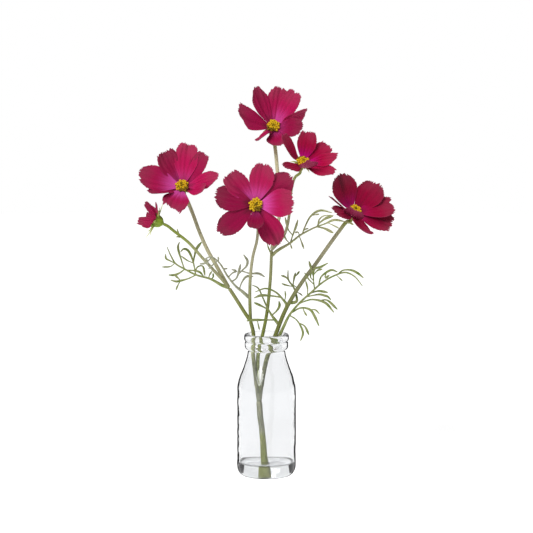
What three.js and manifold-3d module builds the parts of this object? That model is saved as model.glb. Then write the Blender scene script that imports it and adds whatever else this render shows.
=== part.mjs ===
// A spray of cosmos flowers standing in a small glass bottle with a little water in it.
// Millimetres, +Z up. The origin is the middle of the bottle's base. The blooms face -Y.
import * as THREE from "three";
import { mergeVertices } from "three/addons/utils/BufferGeometryUtils.js";
import Module from "manifold-3d";

const wasm = await Module();
wasm.setup();

// ---------------------------------------------------------------- driving dimensions

const GAP = 0.3; // clearance between pieces that touch
const RING_SEGMENTS = 28; // sides of the bottle and the water

const bottle = {
  height: 145,
  radius: 29.75,
  footRadius: 19, // flat ring that the bottle stands on
  footRise: 13, // height of the rounded corner above the base
  shoulderStart: 88,
  neckStart: 128,
  neckRadius: 18.8,
  collarRadius: 22,
  boreRadius: 16.5,
  wall: 2.35,
  floor: 4,
};
const water = { level: 16.2, holeRadius: 4.6, holeX: -1.6 };
const petal = { thickness: 0.7, clawRadius: 3, clawLength: 3.5, clawBend: 6, tipArch: 0.16 };
const hub = { radius: 4.6, halfHeight: 0.7 }; // small green-backed plate that the petals join in
const disc = { base: 1.4, radius: 6.3, florets: [10, 6, 2] };
const calyx = { top: -1, length: 9, radius: 4.5, neckRadius: 1.8, bracts: 8, bractLength: 9.5 };
const DISC_HEIGHT = 4; // how far the middle of the disc stands above the bloom's own origin

// The spray is laid out as it is seen from in front and a little above: each point has a
// distance across, a height up and a depth, where less depth is nearer.
const sight = { tilt: THREE.MathUtils.degToRad(8), distance: 3000, height: 213, up: 210.5 };

// ---------------------------------------------------------------- materials

const finishes = {
  glass: { color: 0xeef3f2, roughness: 0.03, metalness: 0, transparent: true, opacity: 0.3 },
  water: { color: 0xf2f7f7, roughness: 0.02, metalness: 0, transparent: true, opacity: 0.4 },
  stem: { color: 0x7f8550, roughness: 0.6, metalness: 0 },
  leaf: { color: 0x7d8a4c, roughness: 0.6, metalness: 0 },
  petals: { color: 0xa01c50, roughness: 0.7, metalness: 0 },
  darkPetals: { color: 0x7a0f33, roughness: 0.7, metalness: 0 },
  disc: { color: 0xc9a21e, roughness: 0.8, metalness: 0 },
  calyx: { color: 0x74832a, roughness: 0.6, metalness: 0 },
};

// ---------------------------------------------------------------- solids

const spray = new THREE.Group();

function toSolid(geometry) {
  const bare = geometry.clone();
  bare.deleteAttribute("normal");
  bare.deleteAttribute("uv");
  const merged = mergeVertices(bare, 1e-4);
  const corners = [];
  for (let i = 0; i < merged.index.count; i += 3) {
    const [a, b, c] = merged.index.array.slice(i, i + 3);
    if (a !== b && b !== c && c !== a) corners.push(a, b, c);
  }
  return new wasm.Manifold(
    new wasm.Mesh({
      numProp: 3,
      vertProperties: merged.attributes.position.array,
      triVerts: Uint32Array.from(corners),
    }),
  );
}

function fuse(geometries) {
  return geometries.map(toSolid).reduce((whole, piece) => whole.add(piece));
}

// The biggest body of a solid, without the scraps that a cut leaves behind at its root.
function largestBody(solid) {
  const body = solid.decompose().reduce((a, b) => (b.volume() > a.volume() ? b : a));
  if (body.volume() < 0.95 * solid.volume()) throw new Error("a cut parts more than a scrap");
  return body;
}

function addPiece(name, solid, finish) {
  const { vertProperties, triVerts } = solid.getMesh();
  const geometry = new THREE.BufferGeometry();
  geometry.setAttribute("position", new THREE.BufferAttribute(vertProperties, 3));
  geometry.setIndex(new THREE.BufferAttribute(triVerts, 1));
  const flat = geometry.toNonIndexed();
  flat.computeVertexNormals();
  const mesh = new THREE.Mesh(flat, new THREE.MeshStandardMaterial(finishes[finish]));
  mesh.name = name;
  spray.add(mesh);
}

function indexedGeometry(points, triangles) {
  const geometry = new THREE.BufferGeometry();
  geometry.setAttribute(
    "position",
    new THREE.Float32BufferAttribute(points.flatMap((p) => [p.x, p.y, p.z]), 3),
  );
  geometry.setIndex(triangles.flat());
  return geometry;
}

// A point given by where it is seen from in front.
function seen(across, up, depth) {
  const { tilt, distance, height } = sight;
  const above = up - sight.up;
  const spread = 1 + (depth * Math.cos(tilt) - above * Math.sin(tilt)) / distance;
  const z = height + (above * spread - depth * Math.sin(tilt)) / Math.cos(tilt);
  return new THREE.Vector3(across * spread, depth, z);
}

// A tapering rod along a smooth curve through the points. With pointed, it ends in a point.
function rod(points, radii, sides, detail = 1, pointed = false) {
  const curve = new THREE.CatmullRomCurve3(points, false, "centripetal");
  const steps = (points.length - 1) * detail;
  const normal = new THREE.Vector3(0.35, -1, 0.2);
  const vertices = [];
  const triangles = [];
  for (let i = 0; i <= steps; i++) {
    const t = i / steps;
    const centre = curve.getPoint(t);
    const tangent = curve.getTangent(t);
    if (pointed && i === steps) {
      vertices.push(centre);
      break;
    }
    normal.addScaledVector(tangent, -normal.dot(tangent)).normalize();
    const side = new THREE.Vector3().crossVectors(tangent, normal);
    const place = t * (radii.length - 1);
    const k = Math.min(Math.floor(place), radii.length - 2);
    const radius = THREE.MathUtils.lerp(radii[k], radii[k + 1], place - k);
    for (let j = 0; j < sides; j++) {
      const angle = (j / sides) * 2 * Math.PI;
      vertices.push(
        centre
          .clone()
          .addScaledVector(normal, radius * Math.cos(angle))
          .addScaledVector(side, radius * Math.sin(angle)),
      );
    }
  }
  for (let i = 0; i < steps; i++) {
    for (let j = 0; j < sides; j++) {
      const a = i * sides + j;
      const b = i * sides + ((j + 1) % sides);
      if (pointed && i === steps - 1) {
        triangles.push([a, b, vertices.length - 1]);
      } else {
        triangles.push([a, b, a + sides], [b, b + sides, a + sides]);
      }
    }
  }
  for (let j = 1; j < sides - 1; j++) {
    triangles.push([0, j + 1, j]);
    const last = steps * sides;
    if (!pointed) triangles.push([last, last + j, last + j + 1]);
  }
  return indexedGeometry(vertices, triangles);
}

// A thin blade from rows of points across its middle surface. Both faces take the same
// triangles, half the thickness to each side, and a rim closes them.
function blade(rows, thickness) {
  const points = rows.flat();
  const starts = rows.map((_, i) => rows.slice(0, i).reduce((n, row) => n + row.length, 0));
  const sheet = [];
  for (let r = 0; r < rows.length - 1; r++) {
    const [m, n] = [rows[r].length, rows[r + 1].length];
    let i = 0;
    let j = 0;
    while (i < m - 1 || j < n - 1) {
      const low = starts[r] + i;
      const high = starts[r + 1] + j;
      if (j === n - 1 || (i < m - 1 && (i + 1) * (n - 1) < (j + 1) * (m - 1))) {
        sheet.push([low, low + 1, high]);
        i += 1;
      } else {
        sheet.push([low, high + 1, high]);
        j += 1;
      }
    }
  }
  const normals = points.map(() => new THREE.Vector3());
  const face = new THREE.Triangle();
  const edges = new Map();
  for (const [a, b, c] of sheet) {
    face.set(points[a], points[b], points[c]);
    const direction = face.getNormal(new THREE.Vector3());
    for (const corner of [a, b, c]) normals[corner].add(direction);
    for (const [p, q] of [[a, b], [b, c], [c, a]]) {
      if (!edges.delete(q + "-" + p)) edges.set(p + "-" + q, [p, q]);
    }
  }
  normals.forEach((normal) => normal.normalize());
  const offset = (half) => points.map((p, i) => p.clone().addScaledVector(normals[i], half));
  const count = points.length;
  const rim = [...edges.values()].flatMap(([p, q]) => [
    [q, p, p + count],
    [q, p + count, q + count],
  ]);
  const back = sheet.map(([a, b, c]) => [c + count, b + count, a + count]);
  return indexedGeometry(
    [...offset(thickness / 2), ...offset(-thickness / 2)],
    [...sheet, ...back, ...rim],
  );
}

// ---------------------------------------------------------------- bottle and water

function turned(outline) {
  return new THREE.LatheGeometry(outline, RING_SEGMENTS).rotateX(Math.PI / 2);
}

function innerCorner(path, clearance) {
  const radius = bottle.radius - bottle.wall - clearance;
  const floor = bottle.floor + clearance;
  path.quadraticCurveTo(radius, floor, radius - 9, floor);
}

function bottleOutline() {
  const b = bottle;
  const inner = b.radius - b.wall;
  const path = new THREE.Path();
  path.moveTo(0, 0);
  path.lineTo(b.footRadius, 0);
  path.quadraticCurveTo(b.radius, 0, b.radius, b.footRise);
  path.lineTo(b.radius, b.shoulderStart);
  path.bezierCurveTo(b.radius, b.shoulderStart + 12, 20.5, 113, b.neckRadius, b.neckStart);
  path.lineTo(b.collarRadius - 0.2, b.neckStart + 3);
  path.lineTo(b.collarRadius, b.neckStart + 8);
  path.lineTo(b.collarRadius - 1, b.neckStart + 9.5);
  path.lineTo(b.collarRadius + 0.5, b.neckStart + 11);
  path.lineTo(b.collarRadius + 0.6, b.neckStart + 14);
  path.quadraticCurveTo(b.collarRadius + 0.3, b.height, b.collarRadius - 2, b.height);
  path.lineTo(b.boreRadius + 1, b.height);
  path.lineTo(b.boreRadius, b.height - 1.2);
  path.lineTo(b.boreRadius, b.neckStart - 1);
  path.bezierCurveTo(b.boreRadius + 1.4, 112, inner, b.shoulderStart + 10, inner, b.shoulderStart - 2);
  path.lineTo(inner, b.floor + 9);
  innerCorner(path, 0);
  path.lineTo(0, b.floor);
  return path.getPoints(4);
}

function waterOutline() {
  const radius = bottle.radius - bottle.wall - GAP;
  const path = new THREE.Path();
  path.moveTo(0, water.level);
  path.lineTo(radius, water.level);
  path.lineTo(radius, bottle.floor + GAP + 9);
  innerCorner(path, GAP);
  path.lineTo(0, bottle.floor + GAP);
  return path.getPoints(4).reverse();
}

function stemHole() {
  const hole = new THREE.CylinderGeometry(water.holeRadius, water.holeRadius, 40, 12);
  return hole.rotateX(Math.PI / 2).translate(water.holeX, 0, water.level);
}

// ---------------------------------------------------------------- stem

// Each branch lists points [across, up, depth] from its root to its end.
const forkLow = [-7.5, 75, 0];
const forkLeft = [-16, 156, -6];
const forkFar = [-37.5, 189, -6];
const forkHigh = [5, 227, 8];

const branches = {
  right: {
    radii: [2.5, 2.2, 2],
    points: [forkLow, [-5, 92, 1], [0, 117, 1], [9, 142, 0], [18, 165, -1], [26, 180, -2],
      [37, 197, -3], [48, 211.5, -3], [59, 227, -3], [72, 245, -1], [80, 255, 1]],
  },
  middle: {
    radii: [2.4, 1.9, 1.7],
    points: [forkLow, [-9, 107, 1], [-8, 126, 2], [-3.5, 144, 3], [0.5, 165, 5], [3.8, 197, 7],
      [4.8, 219, 8], forkHigh],
  },
  left: {
    radii: [2.3, 1.9, 1.9],
    points: [forkLow, [-11.5, 105, -1], [-13.2, 122, -3], [-13.2, 144, -3], forkLeft],
  },
  front: {
    radii: [1.7, 1.5, 1.4],
    points: [forkLeft, [-16.7, 182, -14], [-16, 202, -21], [-13.5, 221, -25], [-9.5, 237, -26],
      [-8.5, 256, -23.5], [-10, 267, -25]],
  },
  farLeft: {
    radii: [1.9, 1.8],
    points: [forkLeft, [-21.5, 164, -6], [-31, 179, -6], forkFar],
  },
  leftBloom: {
    radii: [1.8, 1.5, 1.4],
    points: [forkFar, [-50, 211, -5], [-59, 227, -1], [-67, 245, 4], [-74, 264, 7], [-79, 276, 6.5]],
  },
  bud: {
    radii: [1.6, 1.3, 1.2],
    points: [forkFar, [-43, 196, -9], [-54, 208, -12], [-64, 219, -14], [-78, 234.5, -16],
      [-92, 245.5, -18]],
  },
  top: {
    radii: [1.5, 1.4, 1.3],
    points: [forkHigh, [9, 245, 11], [13, 262, 15], [13.5, 282, 22], [11, 305, 31], [9.5, 322, 40]],
  },
  upperRight: {
    radii: [1.6, 1.4, 1.4],
    points: [forkHigh, [16.5, 240, 7], [20, 248, 6], [23, 264, 4], [25, 288, -1], [28.8, 300, -4]],
  },
};

function trunk(extra) {
  const foot = bottle.floor + GAP;
  const points = [
    new THREE.Vector3(-1, 0, foot),
    new THREE.Vector3(-2.2, 0, foot + 14),
    seen(-4.2, 42, 0),
    seen(-6.5, 62, 0),
    seen(-7.6, 77, 0),
  ];
  return rod(points, [2.8 + extra, 2.9 + extra], 8, 1);
}

// The whole stem as rods, each made fatter by extra.
function stemRods(extra) {
  const rods = Object.entries(branches).map(([name, { radii, points }]) => {
    const path = points.map((p) => seen(...p));
    const bloom = blooms.find((b) => b.branch === name);
    if (bloom) path.push(calyxEnd(bloom, 4), calyxEnd(bloom, 0));
    return rod(path, radii.map((r) => r + extra), 6, 1);
  });
  const bracts = extra
    ? []
    : [
        [[-87, 241, -17.5], [-88.5, 245, -18.5], [-89.5, 248.5, -21]],
        [[-86, 240, -17.2], [-88.5, 240.3, -20], [-90.5, 240, -22]],
      ].map((points) => rod(points.map((p) => seen(...p)), [0.9, 0.5], 4, 1, true));
  return [trunk(extra), ...rods, ...bracts];
}

// ---------------------------------------------------------------- leaves

// Each frond starts inside its branch and is trimmed to the branch's side. Its twigs are lists
// of [across, up]; the first one is the rib. Depth follows one gently waved sheet per frond.
const fronds = {
  leaf_low_left: {
    foot: -6, across: -0.16, up: 0.2, wave: 4, phase: 0.5,
    twigs: [
      [[-37, 189], [-44, 191.5], [-56, 198], [-70, 202], [-82, 208], [-91, 213.5], [-95, 220], [-99.5, 230]],
      [[-91, 213.5], [-97, 216.5], [-100.5, 218.5], [-101, 223]],
      [[-92, 212.5], [-96, 210.5], [-104.5, 210]],
      [[-82, 207], [-87, 204], [-92, 202], [-98, 202]],
      [[-71, 201], [-78, 198.5], [-85, 196.5], [-90, 195.5], [-96, 197]],
      [[-86, 196], [-88.5, 192], [-90.5, 187]],
      [[-82, 208.5], [-84.5, 215], [-88.5, 230], [-87, 235]],
      [[-71, 202], [-72, 209], [-74.5, 219], [-79, 227], [-83, 228], [-86, 225]],
      [[-73, 214], [-79, 216.5], [-85.5, 221]],
      [[-73, 214.5], [-72, 221], [-70, 228], [-65, 235]],
      [[-80, 206.5], [-73, 206.5], [-67, 205], [-63, 201]],
      [[-71, 206], [-69, 210], [-64, 211], [-61.5, 201]],
      [[-58, 198.5], [-57, 202], [-54.5, 206]],
    ],
  },
  leaf_high_left: {
    foot: -13, across: 0.25, up: 0.1, wave: 2.5, phase: 2,
    twigs: [
      [[-17, 179], [-23, 184.5], [-31, 191], [-39, 201], [-47, 214], [-55, 220], [-60, 219], [-63, 216.5]],
      [[-49, 216.5], [-55, 211], [-58, 208]],
      [[-55, 219.5], [-61, 214], [-67, 213]],
      [[-60, 219], [-58, 211]],
      [[-38, 200], [-34, 204], [-30, 206], [-35, 207.5]],
      [[-34.5, 195.5], [-30, 199], [-27.5, 206], [-26, 213]],
      [[-29, 202], [-24, 207], [-20, 211], [-19, 216], [-23, 222.5]],
      [[-27, 188], [-25, 194], [-20, 200.5], [-13, 200.5]],
      [[-25, 206], [-16, 203.5], [-8, 203.5], [-1.5, 200]],
      [[-43.5, 208], [-39, 208.5]],
    ],
  },
  leaf_low_middle: {
    foot: 0, across: 0.5, up: 0.1, wave: 1, phase: 1,
    twigs: [
      [[12, 152], [11, 154], [5, 162], [0, 171], [-4, 180], [-8.5, 189], [-14.5, 192]],
      [[2, 167], [-4, 170.5], [-12.5, 174.5]],
      [[5, 161.5], [10, 166], [13, 171], [12.5, 176]],
      [[8.5, 157], [0, 157], [-13, 157], [-20, 156]],
      [[-9, 157], [-8, 151], [-7, 147]],
    ],
  },
  leaf_small_middle: {
    foot: -1, across: 0.45, up: -0.1, wave: 1, phase: 0,
    twigs: [
      [[18, 165], [20, 172], [16, 178], [9, 185], [-1, 188.5], [-11.5, 185]],
      [[14, 179.5], [6, 181], [-6, 181.5], [-12.5, 179]],
      [[18.5, 175.5], [19, 181], [18.5, 186.5]],
    ],
  },
  leaf_low_right: {
    foot: 0.5, across: -0.25, up: -0.03, wave: 4, phase: 3,
    twigs: [
      [[7, 134], [12, 140], [16.5, 149], [23, 162], [33, 174], [44, 184], [54, 193], [67, 201],
        [79, 204.5], [88, 200.5], [96, 191]],
      [[23, 161.5], [29, 158], [33, 153], [36.5, 144], [34, 136]],
      [[32, 154], [38, 151], [42.5, 142]],
      [[25, 164.5], [34, 169], [44, 167], [48, 161], [52.5, 151]],
      [[42, 168], [49, 167], [53, 163]],
      [[33, 173], [39, 176], [46, 177.5], [59, 174], [67.5, 164.5]],
      [[52, 176.5], [60, 177], [71, 167.5]],
      [[39, 179], [46, 181.5], [54, 182.5], [63, 179.5]],
      [[44, 183.5], [52, 186], [61.5, 184.5]],
      [[52, 191.5], [54, 199], [59, 204], [65, 207], [71, 205]],
      [[71, 202], [76, 206.5], [84, 207], [91, 204], [97, 199]],
      [[70, 202], [76, 196]],
      [[47.5, 188], [47, 198], [48, 208], [54, 210], [61.5, 214]],
      [[47, 200], [42.5, 216]],
      [[46.5, 192], [42, 198], [38, 204.5]],
      [[40, 180.5], [41, 189], [39, 196.5]],
    ],
  },
  leaf_back_right: {
    foot: -1.5, across: 0, up: 0.45, wave: 1, phase: 0.4,
    twigs: [
      [[23, 174], [30, 175.5], [30, 181], [27, 190], [22, 197], [21.5, 207]],
      [[26.5, 191], [27.5, 198], [29, 204.5]],
      [[26.5, 190.5], [21, 191.5], [15, 193.5]],
      [[23, 196], [19, 200], [14.5, 201.5]],
    ],
  },
  leaf_high_right: {
    foot: 8, across: -0.35, up: -0.15, wave: 3, phase: 2.6,
    twigs: [
      [[5, 221], [11, 226.5], [23, 233.5], [34, 242], [46, 248.5], [51, 251], [52.5, 257], [57, 261], [65, 262]],
      [[23, 234], [20, 237], [17.5, 242]],
      [[24, 234.5], [26, 241], [29, 249], [31.5, 257.5]],
      [[26, 242], [22, 247], [18.5, 260]],
      [[24, 234], [25.5, 228]],
      [[33, 241], [35, 235], [37.5, 228]],
      [[35.5, 243], [38, 249], [44, 260.5], [54, 266.5], [66, 264]],
      [[46, 262.5], [53, 263]],
      [[53, 252.5], [59, 258.5], [67, 261.5]],
      [[49, 250], [58, 253], [68, 257], [78, 255.5]],
      [[61, 254], [68, 251], [73, 248.5]],
      [[50, 250], [58, 248.5], [67, 244]],
    ],
  },
};

function frondPoint(frond, [across, up]) {
  const [x0, up0] = frond.twigs[0][0];
  const reach = Math.hypot(across - x0, up - up0);
  const wave = frond.wave * Math.min(1, reach / 20) * Math.sin(across / 6 + up / 9 + frond.phase);
  const depth = frond.foot + frond.across * (across - x0) + frond.up * (up - up0) + wave;
  return seen(across, up, depth);
}

// The point of the lines drawn so far that lies nearest to a new twig's root.
function nearestOn(lines, root) {
  const spans = lines.flatMap((line) => line.slice(1).map((end, i) => new THREE.Line3(line[i], end)));
  const points = spans.map((span) => span.closestPointToPoint(root, true, new THREE.Vector3()));
  return points.reduce((a, b) => (b.distanceTo(root) < a.distanceTo(root) ? b : a));
}

function frondSolid(frond) {
  const lines = [];
  for (const twig of frond.twigs) {
    const points = twig.map((p) => frondPoint(frond, p));
    if (lines.length) points[0] = nearestOn(lines, points[0]);
    lines.push(points);
  }
  const [rib, ...twigs] = lines;
  return fuse([
    rod(rib, [1.6, 1.3, 1, 0.6], 4, 1, true),
    ...twigs.map((points) => rod(points, [0.85, 0.95, 0.65], 3, 1, true)),
  ]);
}

// ---------------------------------------------------------------- blooms

// place is where the middle of the disc is: across, up, depth. face is the way it looks:
// degrees round to the right, and degrees up. Each petal has its turn round the disc, its
// rise out of the disc's plane, its length and width, and where it isn't flat or straight
// its bend along the length, its roll about its own line and its sideways sweep.
const blooms = [
  {
    name: "bloom_top", branch: "top", place: [7, 352, 36], face: [0, 35],
    petals: [
      { turn: 125, rise: 34, length: 42, width: 19, roll: 14, sweep: -18 },
      { turn: 80, rise: 28, length: 40, width: 22 },
      { turn: 52, rise: 32, length: 40, width: 21 },
      { turn: 14, rise: 38, length: 40, width: 15, roll: 65 },
      { turn: 341, rise: 36, length: 33, width: 18, bend: -10, roll: 20 },
      { turn: 283, rise: 26, length: 26, width: 22 },
      { turn: 234, rise: 28, length: 26, width: 17, roll: 55 },
      { turn: 175, rise: 18, length: 37, width: 23, sweep: -32 },
    ],
  },
  {
    name: "bloom_upper_right", branch: "upperRight", place: [37, 317, -14], face: [18, 52],
    petals: [
      { turn: 69, rise: 43, length: 31, width: 21 },
      { turn: 23, rise: 27, length: 32, width: 20 },
      { turn: 350, rise: 20, length: 32, width: 14, roll: 20 },
      { turn: 316, rise: 12, length: 31, width: 20 },
      { turn: 272, rise: 60, length: 22, width: 16, bend: 60 },
      { turn: 213, rise: 21, length: 25, width: 17 },
      { turn: 134, rise: 43, length: 33, width: 17, roll: 10 },
    ],
  },
  {
    name: "bloom_left", branch: "leftBloom", place: [-84.5, 292, -10], face: [-5, 33],
    petals: [
      { turn: 82, rise: 28, length: 42, width: 24 },
      { turn: 50, rise: 32, length: 40, width: 20 },
      { turn: 4, rise: 30, length: 41, width: 16, roll: 15 },
      { turn: 336, rise: 45, length: 33, width: 15, bend: 30 },
      { turn: 271, rise: 24, length: 34, width: 24 },
      { turn: 228, rise: 50, length: 22, width: 18 },
      { turn: 172, rise: 24, length: 43, width: 28 },
      { turn: 121, rise: 32, length: 38, width: 24 },
    ],
  },
  {
    name: "bloom_front", branch: "front", place: [-10.7, 272.5, -45], face: [0, 14],
    petals: [
      { turn: 77, rise: 20, length: 40, width: 25 },
      { turn: 38, rise: 16, length: 43, width: 26 },
      { turn: 2, rise: 24, length: 37.5, width: 29 },
      { turn: 301, rise: 5, length: 43, width: 25, sweep: -10 },
      { turn: 269, rise: 46, length: 31, width: 13, bend: 30 },
      { turn: 215, rise: 10, length: 43.5, width: 26 },
      { turn: 165, rise: 14, length: 40.5, width: 28 },
      { turn: 132, rise: 20, length: 40, width: 27 },
    ],
  },
  {
    name: "bloom_right", branch: "right", place: [89, 268, -5], face: [26, 50], dark: true,
    petals: [
      { turn: 109, rise: 38, length: 38, width: 29 },
      { turn: 23, rise: 33, length: 40, width: 28 },
      { turn: 350, rise: 20, length: 39, width: 24 },
      { turn: 320, rise: 5, length: 39, width: 26 },
      { turn: 266, rise: 2, length: 30, width: 22, roll: -20 },
      { turn: 240, rise: 60, length: 26, width: 22, bend: 60 },
      { turn: 200, rise: 22, length: 30, width: 18 },
      { turn: 165, rise: 35, length: 34, width: 12, roll: 20 },
    ],
  },
  {
    name: "bud", branch: "bud", place: [-114, 258.5, -21.5], face: [-73, 25], half: true,
    petals: [
      { turn: 318, rise: 70, length: 26, width: 13 },
      { turn: 20, rise: 68, length: 22, width: 11 },
      { turn: 62, rise: 50, length: 22, width: 10 },
      { turn: 122, rise: 40, length: 20, width: 11 },
      { turn: 180, rise: 66, length: 21, width: 12 },
      { turn: 250, rise: 72, length: 20, width: 10 },
    ],
  },
];
const budBracts = [
  { turn: 92, rise: 12, length: 13 },
  { turn: 45, rise: 38, length: 11 },
  { turn: 312, rise: 42, length: 11 },
  { turn: 268, rise: 16, length: 15 },
  { turn: 295, rise: 0, length: 12 },
  { turn: 180, rise: 20, length: 12 },
  { turn: 225, rise: 10, length: 12 },
];
const budCup = { radius: 5, depth: 8 };

function bloomFrame({ place, face }) {
  const round = THREE.MathUtils.degToRad(face[0]);
  const lift = THREE.MathUtils.degToRad(face[1]);
  const out = new THREE.Vector3(
    Math.sin(round) * Math.cos(lift),
    -Math.cos(round) * Math.cos(lift),
    Math.sin(lift),
  );
  const right = new THREE.Vector3(0, 0, 1).cross(out).normalize();
  const top = new THREE.Vector3().crossVectors(out, right);
  const origin = seen(...place).addScaledVector(out, -DISC_HEIGHT);
  return new THREE.Matrix4().makeBasis(right, top, out).setPosition(origin);
}

// A point on the bloom's own axis, below the end of its calyx, where the stem comes in.
function calyxEnd(bloom, below) {
  const depth = (bloom.half ? budCup.depth : calyx.length) + below;
  return new THREE.Vector3(0, 0, calyx.top - depth - GAP).applyMatrix4(bloomFrame(bloom));
}

// Half the petal's width at a share s of its length: a narrow claw that widens to a broad end.
function petalWidth(width, s) {
  const widest = 0.74;
  if (s < widest) return (width / 2) * (0.17 + 0.83 * Math.sin((Math.PI / 2) * (s / widest)) ** 1.15);
  return (width / 2) * Math.sqrt(1 - ((s - widest) / 0.36) ** 2);
}

// The petal's middle line as a function that gives a point and a direction at a length along it.
function petalLine({ rise, length, bend = 0, sweep = 0 }, seat) {
  const rad = THREE.MathUtils.degToRad;
  const claw = seat > 0 ? 15 : 9;
  const direction = (along) => {
    const s = along / length;
    const open = THREE.MathUtils.smoothstep(along, petal.clawLength, petal.clawLength + petal.clawBend);
    const lift = rad(THREE.MathUtils.lerp(claw, rise + bend * (s - 0.5), open));
    const side = rad(sweep * s * s);
    return new THREE.Vector3(
      Math.cos(lift) * Math.cos(side),
      Math.cos(lift) * Math.sin(side),
      Math.sin(lift),
    );
  };
  return (along) => {
    const point = new THREE.Vector3(petal.clawRadius, 0, seat);
    const steps = 24;
    for (let i = 0; i < steps; i++) {
      point.addScaledVector(direction(((i + 0.5) / steps) * along), along / steps);
    }
    return [point, direction(along)];
  };
}

function petalBlade(shape, order, small) {
  const { turn, length, width, roll = 0 } = shape;
  const seat = order % 2 ? -0.35 : 0.35;
  const line = petalLine(shape, seat);
  const cup = 0.12;
  const rows = small
    ? [[0, 2], [0.3, 3], [0.7, 3], [1, 5]]
    : [[0, 2], [0.16, 3], [0.36, 3], [0.58, 5], [0.8, 5], [1, 9]];
  const points = rows.map(([s, count]) =>
    Array.from({ length: count }, (_, j) => {
      const t = 1 - (2 * j) / (count - 1);
      const tooth = s === 1 && j % 2 ? 0.05 : 0;
      const along = length * (s * (1 - petal.tipArch * t * t * s) - tooth);
      const [centre, forward] = line(along);
      const twist = THREE.MathUtils.degToRad(roll) * Math.min(1, (2 * along) / length);
      const across = new THREE.Vector3(0, 1, 0);
      across.addScaledVector(forward, -across.dot(forward)).normalize();
      across.applyAxisAngle(forward, twist);
      const up = new THREE.Vector3().crossVectors(forward, across);
      const half = petalWidth(width, s);
      return centre
        .addScaledVector(across, half * t)
        .addScaledVector(up, cup * half * t * t * Math.min(1, 2 * s));
    }),
  );
  return blade(points, petal.thickness).rotateZ(THREE.MathUtils.degToRad(turn));
}

function petalsSolid(bloom) {
  const radius = bloom.half ? 3.4 : hub.radius;
  const plate = new THREE.CylinderGeometry(radius, radius, 2 * hub.halfHeight, 12);
  plate.rotateX(Math.PI / 2);
  const blades = bloom.petals.map((shape, i) => petalBlade(shape, i, bloom.half));
  return fuse([plate, ...blades]);
}

// The disc: a low dome, hollowed below for the petals' claws, covered with short florets.
function discSolid() {
  const { base, radius, florets } = disc;
  const outline = [
    [0, base], [3, base], [radius - 0.2, base + 1.7], [radius, base + 2.5], [radius - 1, base + 3.7],
    [radius - 3, base + 4.5], [0, base + 4.9],
  ].map(([x, y]) => new THREE.Vector2(x, y));
  const dome = new THREE.LatheGeometry(outline, 11).rotateX(Math.PI / 2);
  const centre = new THREE.Vector3(0, 0, base - 1);
  const tilts = [66, 38, 12];
  const stubs = florets.flatMap((count, ring) =>
    Array.from({ length: count }, (_, k) => {
      const tilt = THREE.MathUtils.degToRad(tilts[ring]);
      const turn = ((k + 0.5 * (ring % 2)) / count) * 2 * Math.PI;
      const way = new THREE.Vector3(
        Math.sin(tilt) * Math.cos(turn),
        Math.sin(tilt) * Math.sin(turn),
        Math.cos(tilt),
      );
      const stub = new THREE.ConeGeometry(1.15, 2.6, 4).rotateX(Math.PI / 2).translate(0, 0, 1.3);
      const aim = new THREE.Quaternion().setFromUnitVectors(new THREE.Vector3(0, 0, 1), way);
      const root = centre.clone().addScaledVector(way, 4.6);
      return stub.applyQuaternion(aim).translate(...root.toArray());
    }),
  );
  return fuse([dome, ...stubs]);
}

function bractBlade({ turn, rise, length }, root) {
  const line = petalLine({ rise, length, bend: -16 }, 0);
  const widths = [1.3, 1.2];
  const rows = widths.map((half, i) => {
    const [centre] = line((length * i) / widths.length);
    return [1, -1].map((t) => centre.clone().add(new THREE.Vector3(0, half * t, 0)));
  });
  const [end] = line(length);
  const points = [...rows, [end]].map((row) =>
    row.map((p) => p.clone().add(new THREE.Vector3(root.x - petal.clawRadius, 0, root.y))),
  );
  return blade(points, 0.8).rotateZ(THREE.MathUtils.degToRad(turn));
}

function calyxSolid(bloom) {
  const { top, length, radius, neckRadius, bracts, bractLength } = calyx;
  const wide = bloom.half ? budCup.radius : radius;
  const deep = bloom.half ? budCup.depth : length;
  const outline = bloom.half
    ? [[0, top - deep], [1.5, top - deep], [3.2, top - 5], [wide, top - 1.4], [wide, top], [0, top]]
    : [[0, top - deep], [neckRadius, top - deep], [neckRadius + 0.3, top - 5.5], [3.6, top - 3],
        [wide, top - 0.8], [wide - 0.2, top], [0, top]];
  const cup = new THREE.LatheGeometry(outline.map((p) => new THREE.Vector2(...p)), 8);
  cup.rotateX(Math.PI / 2);
  const shapes = bloom.half
    ? budBracts
    : Array.from({ length: bracts }, (_, k) => ({
        turn: ((k + 0.5) / bracts) * 360,
        rise: k % 2 ? -16 : -26,
        length: bractLength,
      }));
  const root = new THREE.Vector2(wide - 1.6, top - 1.1);
  return fuse([cup, ...shapes.map((shape) => bractBlade(shape, root))]);
}

// ---------------------------------------------------------------- the whole spray

addPiece("bottle", toSolid(turned(bottleOutline())), "glass");
addPiece("water", toSolid(turned(waterOutline())).subtract(toSolid(stemHole())), "water");
addPiece("stem", fuse(stemRods(0)), "stem");

const stemRoom = fuse(stemRods(GAP));
for (const [name, frond] of Object.entries(fronds)) {
  addPiece(name, largestBody(frondSolid(frond).subtract(stemRoom)), "leaf");
}

for (const bloom of blooms) {
  const frame = bloomFrame(bloom);
  const set = (part, solid, finish) =>
    addPiece(bloom.name + "_" + part, solid.transform(frame.elements), finish);
  set("petals", petalsSolid(bloom), bloom.dark ? "darkPetals" : "petals");
  set("calyx", calyxSolid(bloom), "calyx");
  if (!bloom.half) set("disc", discSolid(), "disc");
}

export default spray;
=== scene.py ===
"""The finished look of a cosmos flower spray in its glass bottle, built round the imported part."""

import math
from dataclasses import dataclass
from types import SimpleNamespace

import bpy
import numpy as np
from mathutils import Matrix, Vector


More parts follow.
